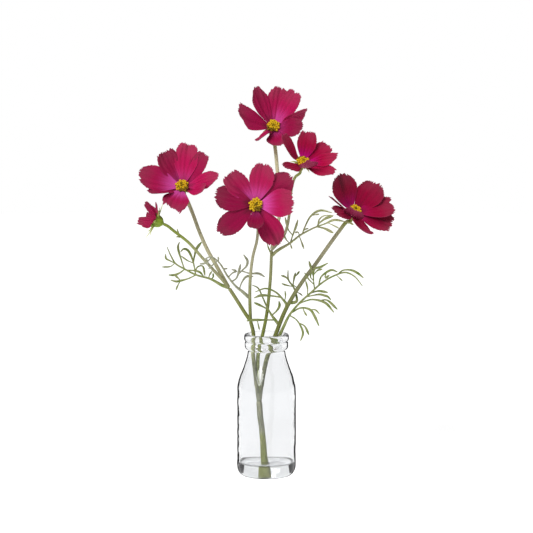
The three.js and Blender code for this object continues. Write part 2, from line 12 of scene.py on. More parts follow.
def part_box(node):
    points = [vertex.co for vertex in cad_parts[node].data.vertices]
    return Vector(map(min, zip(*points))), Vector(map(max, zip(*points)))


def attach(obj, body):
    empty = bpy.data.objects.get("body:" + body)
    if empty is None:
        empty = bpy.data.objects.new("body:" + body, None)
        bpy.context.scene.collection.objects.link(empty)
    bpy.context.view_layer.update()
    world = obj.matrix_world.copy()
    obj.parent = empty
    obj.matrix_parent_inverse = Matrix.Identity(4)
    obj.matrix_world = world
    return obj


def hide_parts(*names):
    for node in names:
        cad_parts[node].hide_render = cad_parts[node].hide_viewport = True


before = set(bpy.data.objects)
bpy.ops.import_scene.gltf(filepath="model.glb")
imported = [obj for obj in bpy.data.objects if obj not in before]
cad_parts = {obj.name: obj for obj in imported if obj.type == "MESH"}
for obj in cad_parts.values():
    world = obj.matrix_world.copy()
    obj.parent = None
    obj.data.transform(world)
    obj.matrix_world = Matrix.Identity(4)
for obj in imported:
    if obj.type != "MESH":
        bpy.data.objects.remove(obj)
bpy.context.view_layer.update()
bottle_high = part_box("bottle")[1]
water_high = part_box("water")[1]

bl_info = {
    "name": "Cosmos Spray in a Glass Bottle",
    "version": (1, 0, 0),
    "blender": (4, 5, 0),
    "location": "View3D > Sidebar > Cosmos",
    "description": "Adds the finished petals, leaves, glass and water of a cosmos flower spray",
    "category": "Object",
}

MM = 0.001  # the shapes below are worked out in millimetres

# The camera looks down a little, at a point above the bottle.
SIGHT_TILT = math.radians(8)
SIGHT_DISTANCE = 3000
SIGHT_HEIGHT = 213
VIEW_WIDTH = 533  # how much it sees from side to side at the bottle


def tint(red, green, blue):
    """A colour given by its screen values from 0 to 255, as the linear values that shaders use."""
    shares = (value / 255 for value in (red, green, blue))
    return tuple(s / 12.92 if s < 0.04045 else ((s + 0.055) / 1.055) ** 2.4 for s in shares)


# ------------------------------------------------------------------ settings


def length_setting(name, default, description):
    """A size in metres."""
    return bpy.props.FloatProperty(
        name=name, default=default, description=description, unit="LENGTH", precision=4, min=0
    )


def colour_setting(name, default, description):
    """A colour, in the linear values that shaders use."""
    return bpy.props.FloatVectorProperty(
        name=name, default=default, description=description, subtype="COLOR", size=3, min=0, max=1
    )


def share_setting(name, default, description):
    """A share from 0 to 1."""
    return bpy.props.FloatProperty(
        name=name, default=default, description=description, subtype="FACTOR", min=0, max=1
    )


class CosmosGlassSettings(bpy.types.PropertyGroup):
    """Sizes and colours of the bottle and its water."""

    height: length_setting("Height", bottle_high.z, "Height of the bottle")
    radius: length_setting("Radius", bottle_high.x, "Radius of the bottle's body")
    wall: length_setting("Wall", 0.00235, "Thickness of the bottle's wall")
    waviness: length_setting("Waviness", 0.00022, "How far the inner wall wanders in and out")
    water_level: length_setting("Water Level", water_high.z - 0.0015, "Height of the water")
    glass_colour: colour_setting("Glass", (0.892, 0.899, 0.908), "Tint of the glass")
    water_colour: colour_setting("Water", (0.985, 0.993, 0.99), "Tint of the water")


class CosmosPetalSettings(bpy.types.PropertyGroup):
    """Sizes and colours of the blooms."""

    thickness: length_setting("Thickness", 0.0004, "Thickness of a petal")
    tooth_depth: length_setting("Tooth Depth", 0.003, "Depth of the teeth along a petal's tip")
    pleat_depth: length_setting("Pleat Depth", 0.0002, "Height of the pleats along a petal")
    bright_colour: colour_setting("Crimson", tint(174, 16, 78), "Middle of a petal")
    deep_colour: colour_setting("Deep Crimson", tint(160, 46, 80), "Outer part of a petal")
    pink_colour: colour_setting("Pink", tint(224, 88, 182), "Blush at the foot of a petal")
    red_bright_colour: colour_setting("Red", tint(168, 2, 60), "Middle of the redder bloom's petals")
    red_deep_colour: colour_setting("Deep Red", tint(168, 40, 76), "Outer part of the redder petals")
    dark_bright_colour: colour_setting("Wine", tint(146, 2, 52), "Middle of the darkest petals")
    dark_deep_colour: colour_setting("Deep Wine", tint(140, 38, 64), "Outer part of such petals")
    magenta_colour: colour_setting("Magenta", tint(204, 10, 146), "Blush of the darker blooms")
    disc_colour: colour_setting("Disc", tint(222, 186, 30), "Florets of the disc")
    # Also used for the painted shadow on a disc's shaded side, the painted shade between its florets
    # and, partly, the painted shade in its pit.
    pit_colour: colour_setting("Disc Pit", tint(70, 52, 12), "Florets in the middle of the disc")


class CosmosGreenSettings(bpy.types.PropertyGroup):
    """Sizes and colours of the stem, the leaves and the calyces."""

    leaflet_width: length_setting("Leaflet Width", 0.0026, "Width of a leaflet at its broadest")
    flatness: share_setting("Flatness", 0.5, "Thickness of a leaflet as a share of its width")
    stem_colour: colour_setting("Stem", tint(176, 172, 140), "Upper part of the stem")
    lower_colour: colour_setting("Lower Stem", tint(122, 128, 68), "Stem above the bottle's mouth")
    # The grey of the stem in the bottle is partly a painted reflection of the glass.
    middle_colour: colour_setting("Stem Middle", tint(102, 104, 86), "Stem in the bottle")
    foot_colour: colour_setting("Stem Foot", tint(100, 106, 48), "Stem near the water")
    neck_colour: colour_setting("Stem Neck", tint(134, 148, 62), "Stem where it nears a bloom")
    leaf_colour: colour_setting("Leaf", tint(140, 146, 94), "Leaflets")
    pale_colour: colour_setting("Pale Leaf", tint(164, 164, 120), "Leaflets of the highest frond")
    dusty_colour: colour_setting("Dusty Leaf", tint(158, 160, 134), "Leaflets of the paler frond")
    calyx_colour: colour_setting("Calyx", tint(134, 158, 44), "Cup below a bloom")
    bract_colour: colour_setting("Bract Tip", tint(206, 212, 130), "Tips of the bracts")


class CosmosStageSettings(bpy.types.PropertyGroup):
    """Floor and camera distance."""

    floor_radius: length_setting("Floor Radius", 2.2, "Radius of the pale floor")
    camera_distance: length_setting(
        "Camera Distance", SIGHT_DISTANCE * MM, "From the camera to the bottle's axis"
    )
    floor_colour: colour_setting("Floor", (0.9, 0.9, 0.9), "Colour of the floor")


# ------------------------------------------------------------------ how the spray is laid out

SIGHT_UP = 210.5  # how far up the camera's aim lies among the points below

# Heights in a bloom's own directions, from its origin outwards
DISC_HEIGHT = 4  # to the middle of its disc
CALYX_TOP = -1
CALYX_DEPTH = 9
BUD_CUP_DEPTH = 8
GAP = 0.3  # left between the foot of a calyx and its stem


def seen(across, up, depth):
    """Where a point lies that the camera sees so far across and up. Less depth is nearer."""
    above = up - SIGHT_UP
    cosine, sine = math.cos(SIGHT_TILT), math.sin(SIGHT_TILT)
    spread = 1 + (depth * cosine - above * sine) / SIGHT_DISTANCE
    height = SIGHT_HEIGHT + (above * spread - depth * sine) / cosine
    return np.array([across * spread, depth, height])


# The points of the spray are given as they are seen: across, up and depth.
TRUNK = [(-4.2, 42, 0), (-6.5, 62, 0), (-7.6, 77, 0)]
TRUNK_FOOT = [(-1.2, 0, 2.9), (-2.2, 0, 17)]  # in the water, where it is given by its true place
TRUNK_RADII = (5, 3.5, 3, 2.9, 3, 3)
FORK_LOW = (-7.5, 75, 0)
FORK_LEFT = (-16, 156, -6)
FORK_FAR = (-37.5, 189, -6)
FORK_HIGH = (5, 227, 8)

# Each branch has its radii from its foot to its end, and the points that it runs through.
BRANCHES = {
    "right": (
        (2.3, 2, 1.9),
        [FORK_LOW, (-5, 92, 1), (0, 117, 1), (9, 142, 0), (18, 165, -1), (26, 180, -2),
         (37, 197, -3), (48, 211.5, -3), (59, 227, -3), (72, 245, -1), (80, 255, 1)],
    ),
    "middle": (
        (2.2, 1.7, 1.55),
        [FORK_LOW, (-9, 107, 1), (-8, 126, 2), (-3.5, 144, 3), (0.5, 165, 5), (3.8, 197, 7),
         (4.8, 219, 8), FORK_HIGH],
    ),
    "left": (
        (2.3, 1.9, 1.9),
        [FORK_LOW, (-11.5, 105, -1), (-13.2, 122, -3), (-13.2, 144, -3), FORK_LEFT],
    ),
    "front": (
        (1.7, 1.5, 1.4),
        [FORK_LEFT, (-16.7, 182, -14), (-16, 202, -21), (-13.5, 221, -25), (-9.5, 237, -26),
         (-8.5, 256, -23.5), (-10, 267, -25)],
    ),
    "far_left": ((1.9, 1.8), [FORK_LEFT, (-21.5, 164, -6), (-31, 179, -6), FORK_FAR]),
    "left_bloom": (
        (1.95, 1.9, 1.85),
        [FORK_FAR, (-50, 211, -5), (-59, 227, -1), (-67, 245, 4), (-74, 264, 7), (-79, 276, 6.5)],
    ),
    "bud": (
        (1.7, 1.5, 1.5),
        [FORK_FAR, (-43, 196, -9), (-54, 208, -12), (-64, 219, -14), (-78, 234.5, -16),
         (-92, 245.5, -18)],
    ),
    "top": (
        (1.7, 1.8, 1.9),
        [FORK_HIGH, (9, 245, 11), (13, 262, 15), (13.5, 282, 22), (11, 305, 31), (9.5, 322, 40)],
    ),
    "upper_right": (
        (1.6, 1.4, 1.4),
        [FORK_HIGH, (16.5, 240, 7), (20, 248, 6), (23, 264, 4), (25, 288, -1), (28.8, 300, -4)],
    ),
}

# Painted light and shade on some branches, which are made lighter or darker.
BRANCH_LIGHT = {"top": 0.4, "left_bloom": 0.1, "right": -0.15, "middle": 0.1}  # lighter or darker
BRANCH_GREEN = {"middle": 0.3}  # how fresh a branch is that bears no bloom
NECK_LENGTH = 22  # how far down from its bloom a branch is fresh green
LONG_NECK_LENGTH = 70
LONG_NECKS = ("bud", "upper_right")

STEM_BRACTS = [
    [(-87, 241, -17.5), (-88.5, 245, -18.5), (-89.5, 248.5, -21)],
    [(-86, 240, -17.2), (-88.5, 240.3, -20), (-90.5, 240, -22)],
    [(4.5, 224, 8), (2, 229, 6.5), (0.5, 234, 5)],
]

RIB_RADII = (1.8, 1.6, 1.1, 1, 0.9, 0.85, 0.8, 0.4)
TWIG_WIDTHS = (0.62, 0.58, 0.7, 1, 1.05, 0.4)  # from its root, as shares of a leaflet's width
FULL_TWIG = 20  # length from which a twig has its full width
WAVE_REACH = 20  # distance from its foot at which a frond has its full wave

# Each frond's depth follows one gently waved sheet: its depth at the foot of the rib, its slopes
# across and up, and the height and phase of its wave. Its twigs are lists of (across, up), the
# rib first; leaflets are further twigs too small for the solid part.
FRONDS = {
    "leaf_low_left": {
        "foot": -6, "across": -0.16, "up": 0.2, "wave": 4, "phase": 0.5,
        "twigs": [
            [(-37, 189), (-44, 191.5), (-56, 198), (-70, 202), (-82, 208), (-91, 213.5),
             (-95, 220), (-99.5, 230)],
            [(-91, 213.5), (-97, 216.5), (-100.5, 218.5), (-101, 223)],
            [(-92, 212.5), (-96, 210.5), (-104.5, 210)],
            [(-82, 207), (-87, 204), (-92, 202), (-98, 202)],
            [(-71, 201), (-78, 198.5), (-85, 196.5), (-90, 195.5), (-96, 197)],
            [(-86, 196), (-88.5, 192), (-90.5, 187)],
            [(-82, 208.5), (-84.5, 215), (-88.5, 230), (-87, 235)],
            [(-71, 202), (-72, 209), (-74.5, 219), (-79, 227), (-83, 228), (-86, 225)],
            [(-73, 214), (-79, 216.5), (-85.5, 221)],
            [(-73, 214.5), (-72, 221), (-70, 228), (-65, 235)],
            [(-80, 206.5), (-73, 206.5), (-67, 205), (-63, 201)],
            [(-71, 206), (-69, 210), (-64, 211), (-61.5, 201)],
            [(-58, 198.5), (-57, 202), (-54.5, 206)],
        ],
        "leaflets": [
            [(-86, 197), (-89, 199.5), (-92, 202)],
            [(-55, 198), (-53.3, 200), (-53.5, 204)],
        ],
    },
    "leaf_high_left": {
        "foot": -13, "across": 0.25, "up": 0.1, "wave": 2.5, "phase": 2,
        "twigs": [
            [(-17, 179), (-23, 184.5), (-31, 191), (-39, 201), (-47, 214), (-55, 220),
             (-60, 219), (-63, 216.5)],
            [(-49, 216.5), (-55, 211), (-58, 208)],
            [(-55, 219.5), (-61, 214), (-67, 213)],
            [(-60, 219), (-58, 211)],
            [(-38, 200), (-34, 204), (-30, 206), (-35, 207.5)],
            [(-34.5, 195.5), (-30, 199), (-27.5, 206), (-26, 213)],
            [(-29, 202), (-24, 207), (-20, 211), (-19, 216), (-23, 222.5)],
            [(-27, 188), (-25, 194), (-20, 200.5), (-13, 200.5)],
            [(-25, 206), (-16, 203.5), (-8, 203.5), (-1.5, 200)],
            [(-43.5, 208), (-39, 208.5)],
        ],
        "leaflets": [[(-48, 215), (-48, 218), (-48.5, 220.5)]],
    },
    "leaf_low_middle": {
        "foot": 0, "across": 0.5, "up": 0.1, "wave": 1, "phase": 1,
        "twigs": [
            [(12, 152), (11, 154), (5, 162), (0, 171), (-4, 180), (-8.5, 189), (-14.5, 192)],
            [(2, 167), (-4, 170.5), (-12.5, 174.5)],
            [(5, 161.5), (10, 166), (13, 171), (12.5, 176)],
            [(8.5, 157), (0, 157), (-13, 157), (-20, 156)],
            [(-9, 157), (-8, 151), (-7, 147)],
        ],
        "leaflets": [],
    },
    "leaf_small_middle": {
        "foot": -1, "across": 0.45, "up": -0.1, "wave": 1, "phase": 0,
        "twigs": [
            [(18, 165), (20, 172), (16, 178), (9, 185), (-1, 188.5), (-11.5, 185)],
            [(14, 179.5), (6, 181), (-6, 181.5), (-12.5, 179)],
            [(18.5, 175.5), (19, 181), (18.5, 186.5)],
        ],
        "leaflets": [],
    },
    "leaf_low_right": {
        "foot": 0.5, "across": -0.25, "up": -0.03, "wave": 4, "phase": 3,
        "twigs": [
            [(7, 134), (12, 140), (16.5, 149), (23, 162), (33, 174), (44, 184), (54, 193),
             (67, 201), (79, 204.5), (88, 200.5), (96, 191)],
            [(23, 161.5), (29, 158), (33, 153), (36.5, 144), (34, 136)],
            [(32, 154), (38, 151), (42.5, 142)],
            [(25, 164.5), (34, 169), (44, 167), (48, 161), (52.5, 151)],
            [(42, 168), (49, 167), (53, 163)],
            [(33, 173), (39, 176), (46, 177.5), (59, 174), (67.5, 164.5)],
            [(52, 176.5), (60, 177), (71, 167.5)],
            [(39, 179), (46, 181.5), (54, 182.5), (63, 179.5)],
            [(44, 183.5), (52, 186), (61.5, 184.5)],
            [(52, 191.5), (54, 199), (59, 204), (65, 207), (71, 205)],
            [(71, 202), (76, 206.5), (84, 207), (91, 204), (97, 199)],
            [(70, 202), (76, 196)],
            [(47.5, 188), (47, 198), (48, 208), (54, 210), (61.5, 214)],
            [(47, 200), (42.5, 216)],
            [(46.5, 192), (42, 198), (38, 204.5)],
            [(40, 180.5), (41, 189), (39, 196.5)],
        ],
        "leaflets": [
            [(36.5, 168.5), (38.5, 164), (40.5, 161)],
            [(47.3, 203), (51, 206.5), (56, 208)],
            [(47, 196), (44, 200), (45, 205)],
            [(55, 183), (60, 181.5), (64.5, 177)],
            [(60, 203.5), (58.5, 199), (63, 202)],
        ],
    },
    "leaf_back_right": {
        "foot": -1.5, "across": 0, "up": 0.45, "wave": 1, "phase": 0.4,
        "twigs": [
            [(23, 174), (30, 175.5), (30, 181), (27, 190), (22, 197), (21.5, 207)],
            [(26.5, 191), (27.5, 198), (29, 204.5)],
            [(26.5, 190.5), (21, 191.5), (15, 193.5)],
            [(23, 196), (19, 200), (14.5, 201.5)],
        ],
        "leaflets": [
            [(28.5, 186), (34, 183), (36, 181)],
            [(26.5, 192), (32.5, 189), (36.5, 197)],
            [(28, 200), (31, 203), (33, 206)],
        ],
    },
    "leaf_high_right": {
        "foot": 8, "across": -0.35, "up": -0.15, "wave": 3, "phase": 2.6,
        "twigs": [
            [(5, 221), (11, 226.5), (23, 233.5), (34, 242), (46, 248.5), (51, 251), (52.5, 257),
             (57, 261), (65, 262)],
            [(23, 234), (20, 237), (17.5, 242)],
            [(24, 234.5), (26, 241), (29, 249), (31.5, 257.5)],
            [(26, 242), (22, 247), (18.5, 260)],
            [(24, 234), (25.5, 228)],
            [(33, 241), (35, 235), (37.5, 228)],
            [(35.5, 243), (38, 249), (44, 260.5), (54, 266.5), (66, 264)],
            [(46, 262.5), (53, 263)],
            [(53, 252.5), (59, 258.5), (67, 261.5)],
            [(49, 250), (58, 253), (68, 257), (78, 255.5)],
            [(61, 254), (68, 251), (73, 248.5)],
            [(50, 250), (58, 248.5), (67, 244)],
        ],
        "leaflets": [
            [(33, 241.5), (31.5, 245), (28.5, 244)],
            [(37, 246), (39.5, 248), (42, 248.5)],
            [(78, 255.3), (83, 254.5), (87, 252)],
        ],
    },
}

@dataclass
class Petal:
    """How a petal grows, in degrees and millimetres, and how it is coloured."""

    turn: float  # round the disc
    rise: float  # out of the disc's plane
    length: float
    width: float
    bend: float = 0  # how much more its tip rises than its foot
    roll: float = 0  # about its middle line
    sweep: float = 0  # how far its tip turns sideways
    skew: float = 0  # how far one of its sides reaches past its middle
    point: float = 0.1  # share of its length by which its tip's sides fall back
    fold: float = 0.3  # depth of the fold along its middle
    pink: float = 0  # share of blush at its foot
    shade: float = 0  # painted light and shade, partly its own tone: lighter above 0, darker below


# A bloom's place is the middle of its disc, and its face the way that it looks: degrees round to
# the right and degrees up. Its disc's rim florets get painted shadow at its shaded_side turn.
BLOOMS = {
    "bloom_top": {
        "branch": "top", "place": (7, 352, 36), "face": (0, 35), "dye": "crimson",
        "shaded_side": 235,
        "petals": [
            Petal(122, 34, 42.5, 20, roll=14, sweep=-14, point=0.24, fold=1.2, pink=0.2,
                  shade=-0.15),
            Petal(80, 28, 39, 23, pink=0.6, shade=0.02),
            Petal(52, 32, 40, 21, point=0.05, pink=0.8, shade=0.1),
            Petal(8, 38, 36, 16, roll=60, skew=9, pink=0.5, shade=-0.05),
            Petal(341, 36, 33, 20, bend=-10, roll=20, pink=0.5, shade=-0.25),
            Petal(283, 26, 26, 23, pink=0.6, shade=-0.2),
            Petal(234, 28, 26, 17, roll=55, pink=0.1, shade=-0.1),
            Petal(172, 18, 36, 23, sweep=-34, skew=-13, fold=1, shade=-0.22),
        ],
    },
    "bloom_upper_right": {
        "branch": "upper_right", "place": (37, 317, -14), "face": (18, 52), "dye": "red",
        "shaded_side": 90,
        "petals": [
            Petal(69, 43, 31, 20, point=0.05, pink=0.9, shade=-0.12),
            Petal(23, 27, 31, 20, pink=0.4, shade=-0.12),
            Petal(350, 20, 31, 15, roll=20, skew=4, pink=0.8),
            Petal(316, 12, 31, 20, skew=3, pink=0.3, shade=-0.1),
            Petal(272, 60, 24, 20, bend=60, pink=0.1, shade=-0.1),
            Petal(213, 21, 24, 17, skew=-4, shade=-0.25),
            Petal(134, 43, 33, 17, roll=10, shade=-0.2),
        ],
    },
    "bloom_left": {
        "branch": "left_bloom", "place": (-84.5, 292, -10), "face": (-5, 33), "dye": "crimson",
        "shaded_side": 290,
        "petals": [
            Petal(82, 28, 40.5, 25, point=0.02, pink=0.45, shade=0.1),
            Petal(51, 32, 38.5, 18, point=0.05, pink=0.25, shade=-0.16),
            Petal(4, 30, 39, 17, roll=15, skew=5, point=0.2, pink=0.2, shade=0.12),
            Petal(336, 45, 33, 15, bend=30, shade=0.05),
            Petal(256, 24, 29, 28, skew=4, point=-0.1, pink=1, shade=-0.15),
            Petal(204, 32, 36, 17, roll=35, pink=0.1, shade=-0.3),
            Petal(172, 24, 43, 28, pink=1, shade=-0.1),
            Petal(121, 32, 38, 24, point=0.05, fold=0.9, pink=0.6, shade=-0.28),
        ],
    },
    "bloom_front": {
        "branch": "front", "place": (-10.7, 272.5, -45), "face": (0, 14), "dye": "crimson",
        "shaded_side": 310,
        "petals": [
            Petal(77, 20, 40, 25, pink=0.8),
            Petal(38, 16, 43, 26, pink=0.1, shade=-0.25),
            Petal(2, 24, 37.5, 29, point=0.06, pink=1),
            Petal(301, 5, 42.5, 25, sweep=-10, fold=1.6, pink=0.1, shade=-0.15),
            Petal(269, 46, 32, 17, bend=30, pink=0.5, shade=-0.4),
            Petal(217, 10, 43.5, 23, fold=0.8, shade=-0.35),
            Petal(167, 14, 39.5, 26, shade=-0.35),
            Petal(133, 20, 39, 23, point=0.03, pink=0.9, shade=-0.1),
        ],
    },
    "bloom_right": {
        "branch": "right", "place": (89, 268, -5), "face": (26, 50), "dye": "wine",
        "shaded_side": 250,
        "petals": [
            Petal(110, 38, 38, 34, point=0.14, fold=2, pink=0.6),
            Petal(34, 34, 37.5, 29, pink=0.15, shade=-0.06),
            Petal(350, 20, 37, 28, point=0.03, pink=0.3),
            Petal(321, 5, 37.5, 31, point=0.06, pink=0.4),
            Petal(256, 2, 34, 19, roll=-20, sweep=85, shade=-0.05),
            Petal(233, 60, 26, 22, bend=60),
            Petal(200, 22, 29, 22, point=0.02, pink=0.5, shade=-0.05),
            Petal(165, 35, 34, 9, roll=20, point=0.3, shade=-0.2),
        ],
    },
    "bud": {
        "branch": "bud", "place": (-115, 258.5, -21.5), "face": (-90, 25), "dye": "crimson",
        "petals": [
            Petal(345, 54, 23, 11, point=0, shade=0.1),
            Petal(10, 66, 17, 9, point=0),
            Petal(40, 50, 25, 9, point=0),
            Petal(55, 24, 19, 8, roll=30, point=0, shade=-0.1),
            Petal(122, 72, 15, 10, shade=-0.1),
            Petal(185, 74, 14, 10, shade=-0.1),
            Petal(255, 76, 14, 10, shade=-0.1),
        ],
    },
}

# The turn, rise and length of each bract
BUD_BRACTS = [(92, 12, 13), (45, 38, 11), (312, 42, 11), (268, 16, 15), (295, 0, 12),
              (180, 20, 12), (225, 10, 12)]
CALYX_BRACTS = [((k + 0.5) * 45, -16 if k % 2 else -26, 9.5) for k in range(8)]

FLORET_COUNT = 34
FLORET_TURN = 137.508  # degrees round a disc from one floret to the next


def bloom_axes(bloom):
    """A bloom's origin, and its rightward, upward and outward directions as rows."""
    turn, lift = map(math.radians, bloom["face"])
    out = np.array(
        [math.sin(turn) * math.cos(lift), -math.cos(turn) * math.cos(lift), math.sin(lift)]
    )
    right = np.cross([0, 0, 1], out)
    right /= np.linalg.norm(right)
    return seen(*bloom["place"]) - DISC_HEIGHT * out, np.array([right, np.cross(out, right), out])


def in_bloom(name, points, turn=0):
    """Points in a bloom's own directions, turned round its disc and moved to where it is."""
    origin, axes = bloom_axes(BLOOMS[name])
    x, y, z = points.T
    cosine, sine = math.cos(math.radians(turn)), math.sin(math.radians(turn))
    return origin + np.stack([x * cosine - y * sine, x * sine + y * cosine, z], axis=-1) @ axes


def calyx_end(name, below):
    """The point so far below the foot of a bloom's calyx."""
    depth = (BUD_CUP_DEPTH if name == "bud" else CALYX_DEPTH) + below
    return in_bloom(name, np.array([0, 0, CALYX_TOP - depth - GAP]))


# ------------------------------------------------------------------ modelling


def ease(value, low, high):
    """0 below low, 1 above high and a smooth rise between them."""
    share = np.clip((value - low) / (high - low), 0, 1)
    return share * share * (3 - 2 * share)


def select_only(*pieces):
    """Selects these pieces and nothing else, the first as the active one."""
    bpy.ops.object.select_all(action="DESELECT")
    for piece in pieces:
        piece.select_set(True)
    bpy.context.view_layer.objects.active = pieces[0]


def sheet(name, columns, rows, place):
    """A grid whose corners are moved to place(u, v), in millimetres. Its UV map keeps u and v."""
    bpy.ops.object.select_all(action="DESELECT")
    bpy.ops.mesh.primitive_grid_add(x_subdivisions=columns, y_subdivisions=rows, size=1)
    piece = bpy.context.object
    piece.name = piece.data.name = name
    flat = np.empty(3 * len(piece.data.vertices))
    piece.data.vertices.foreach_get("co", flat)
    u, v = (flat.reshape(-1, 3)[:, :2] + 0.5).T
    piece.data.vertices.foreach_set("co", (place(u, v) * MM).ravel())
    piece.data.update()
    return piece


def sew(piece):
    """Joins a sheet's edges where they meet, and turns all of its faces one way."""
    select_only(piece)
    bpy.ops.object.mode_set(mode="EDIT")
    bpy.ops.mesh.select_all(action="SELECT")
    bpy.ops.mesh.remove_doubles(threshold=2e-6)
    bpy.ops.mesh.normals_make_consistent(inside=False)
    bpy.ops.object.mode_set(mode="OBJECT")
    return piece


def thicken(piece, thickness):
    """Gives a sheet its thickness, half to each side."""
    select_only(piece)
    wall = piece.modifiers.new("thickness", "SOLIDIFY")
    wall.thickness = thickness
    wall.offset = 0
    bpy.ops.object.modifier_apply(modifier=wall.name)
    return piece


def join(name, pieces):
    """Makes one piece of several."""
    select_only(*pieces)
    bpy.ops.object.join()
    pieces[0].name = pieces[0].data.name = name
    return pieces[0]


def mark(piece, **values):
    """Gives every corner of a piece these values, for its material to read."""
    for name, value in values.items():
        layer = piece.data.attributes.new(name, "FLOAT", "POINT")
        layer.data.foreach_set("value", np.broadcast_to(value, len(layer.data)).astype(np.float32))
    return piece


def fit_out(piece, slot, material, *nodes, sharp=60):
    """Shades a finished piece, gives it its material and sets it on the frame."""
    select_only(piece)
    bpy.ops.object.shade_smooth_by_angle(angle=math.radians(sharp))
    piece.data.materials.clear()
    piece.data.materials.append(material)
    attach(piece, "root")
    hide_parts(*nodes)


def points_at(places, run, line):
    """The points of a line at these distances along it. Its own points lie at run."""
    return np.stack([np.interp(places, run, column) for column in line.T], axis=1)


def smooth_line(points, count):
    """Points along a smooth curve that runs through the given ones."""
    knots = np.array(points, float)
    knots = np.vstack([2 * knots[0] - knots[1], knots, 2 * knots[-1] - knots[-2]])
    gaps = np.sqrt(np.linalg.norm(np.diff(knots, axis=0), axis=1))
    place = np.linspace(0, len(points) - 1, count)
    span = np.minimum(place.astype(int), len(points) - 2)
    t = (place - span)[:, None]
    before, start, end, after = (knots[span + k] for k in range(4))
    g0, g1, g2 = (gaps[span + k][:, None] for k in range(3))
    leave = ((start - before) / g0 - (end - before) / (g0 + g1)) * g1 + end - start
    reach = end - start + ((after - end) / g2 - (after - start) / (g1 + g2)) * g1
    bow = 3 * (end - start) - 2 * leave - reach
    return start + t * (leave + t * (bow + t * (2 * (start - end) + leave + reach)))


def stalk(name, points, radii, sides=10, step=1.5, flat=1, facing=(0.35, -1, 0.2), foot=1):
    """A stalk along a smooth curve through the points, with round ends. Where flat is under 1
    it is a blade whose broad side faces the given way. A small foot makes its first end blunt."""
    fine = smooth_line(points, 24 * (len(points) - 1) + 1)
    run = np.concatenate([[0], np.cumsum(np.linalg.norm(np.diff(fine, axis=0), axis=1))])
    length = run[-1]
    cap = np.array([0, 0.08, 0.3, 0.6, 1])
    first, last = foot * radii[0], radii[-1]
    middle = np.linspace(first, length - last, max(2, round((length - first - last) / step)))
    places = np.concatenate([cap * first, middle[1:-1], length - cap[::-1] * last])
    centres = points_at(places, run, fine)
    ways = points_at(places + 0.2, run, fine) - points_at(places - 0.2, run, fine)
    ways /= np.linalg.norm(ways, axis=1)[:, None]
    radius = np.interp(places / length, np.linspace(0, 1, len(radii)), radii)
    for end, size in ((places, first), (length - places, last)):
        radius = radius * np.sqrt(1 - (1 - np.clip(end / size, 0, 1)) ** 2)
    normals = np.empty_like(ways)
    normal = np.array(facing, float)
    for i, way in enumerate(ways):
        normal = normal - normal.dot(way) * way
        normal /= np.linalg.norm(normal)
        normals[i] = normal
    broad = np.cross(ways, normals)

    def place(u, v):
        row = np.rint(v * (len(places) - 1)).astype(int)
        angle = 2 * np.pi * u
        width = (radius[row] * np.cos(angle))[:, None] * broad[row]
        return centres[row] + width + (flat * radius[row] * np.sin(angle))[:, None] * normals[row]

    return sew(sheet(name, sides, len(places) - 1, place))


def turned(name, profile, segments, wander=None):
    """A closed shape turned about its axis from a profile of (radius, height)."""
    profile = np.array(profile, float)

    def place(u, v):
        radius, height = profile[np.rint(v * (len(profile) - 1)).astype(int)].T
        angle = 2 * np.pi * u
        if wander:
            radius = wander(radius, height, angle)
        return np.stack([radius * np.cos(angle), radius * np.sin(angle), height], axis=1)

    return sew(sheet(name, segments, len(profile) - 1, place))


def arc(*points, count):
    """Points on the curve that starts at the first point, ends at the last and leans to the others."""
    spots = np.array(points, float)
    t = np.linspace(0, 1, count)[:, None]
    while len(spots) > 1:
        spots = [a + t * (b - a) for a, b in zip(spots[:-1], spots[1:])]
    return spots[0]


# ------------------------------------------------------------------ materials


class Value:
    """A value in a material. Arithmetic on it adds the Math nodes that work it out."""

    def __init__(self, paint, socket):
        self.paint = paint
        self.socket = socket

    def __add__(self, other):
        return self.paint.math("ADD", self, other)

    def __radd__(self, other):
        return self.paint.math("ADD", other, self)

    def __sub__(self, other):
        return self.paint.math("SUBTRACT", self, other)

    def __rsub__(self, other):
        return self.paint.math("SUBTRACT", other, self)

    def __mul__(self, other):
        return self.paint.math("MULTIPLY", self, other)

    def __rmul__(self, other):
        return self.paint.math("MULTIPLY", other, self)


    def __abs__(self):
        return self.paint.math("ABSOLUTE", self)


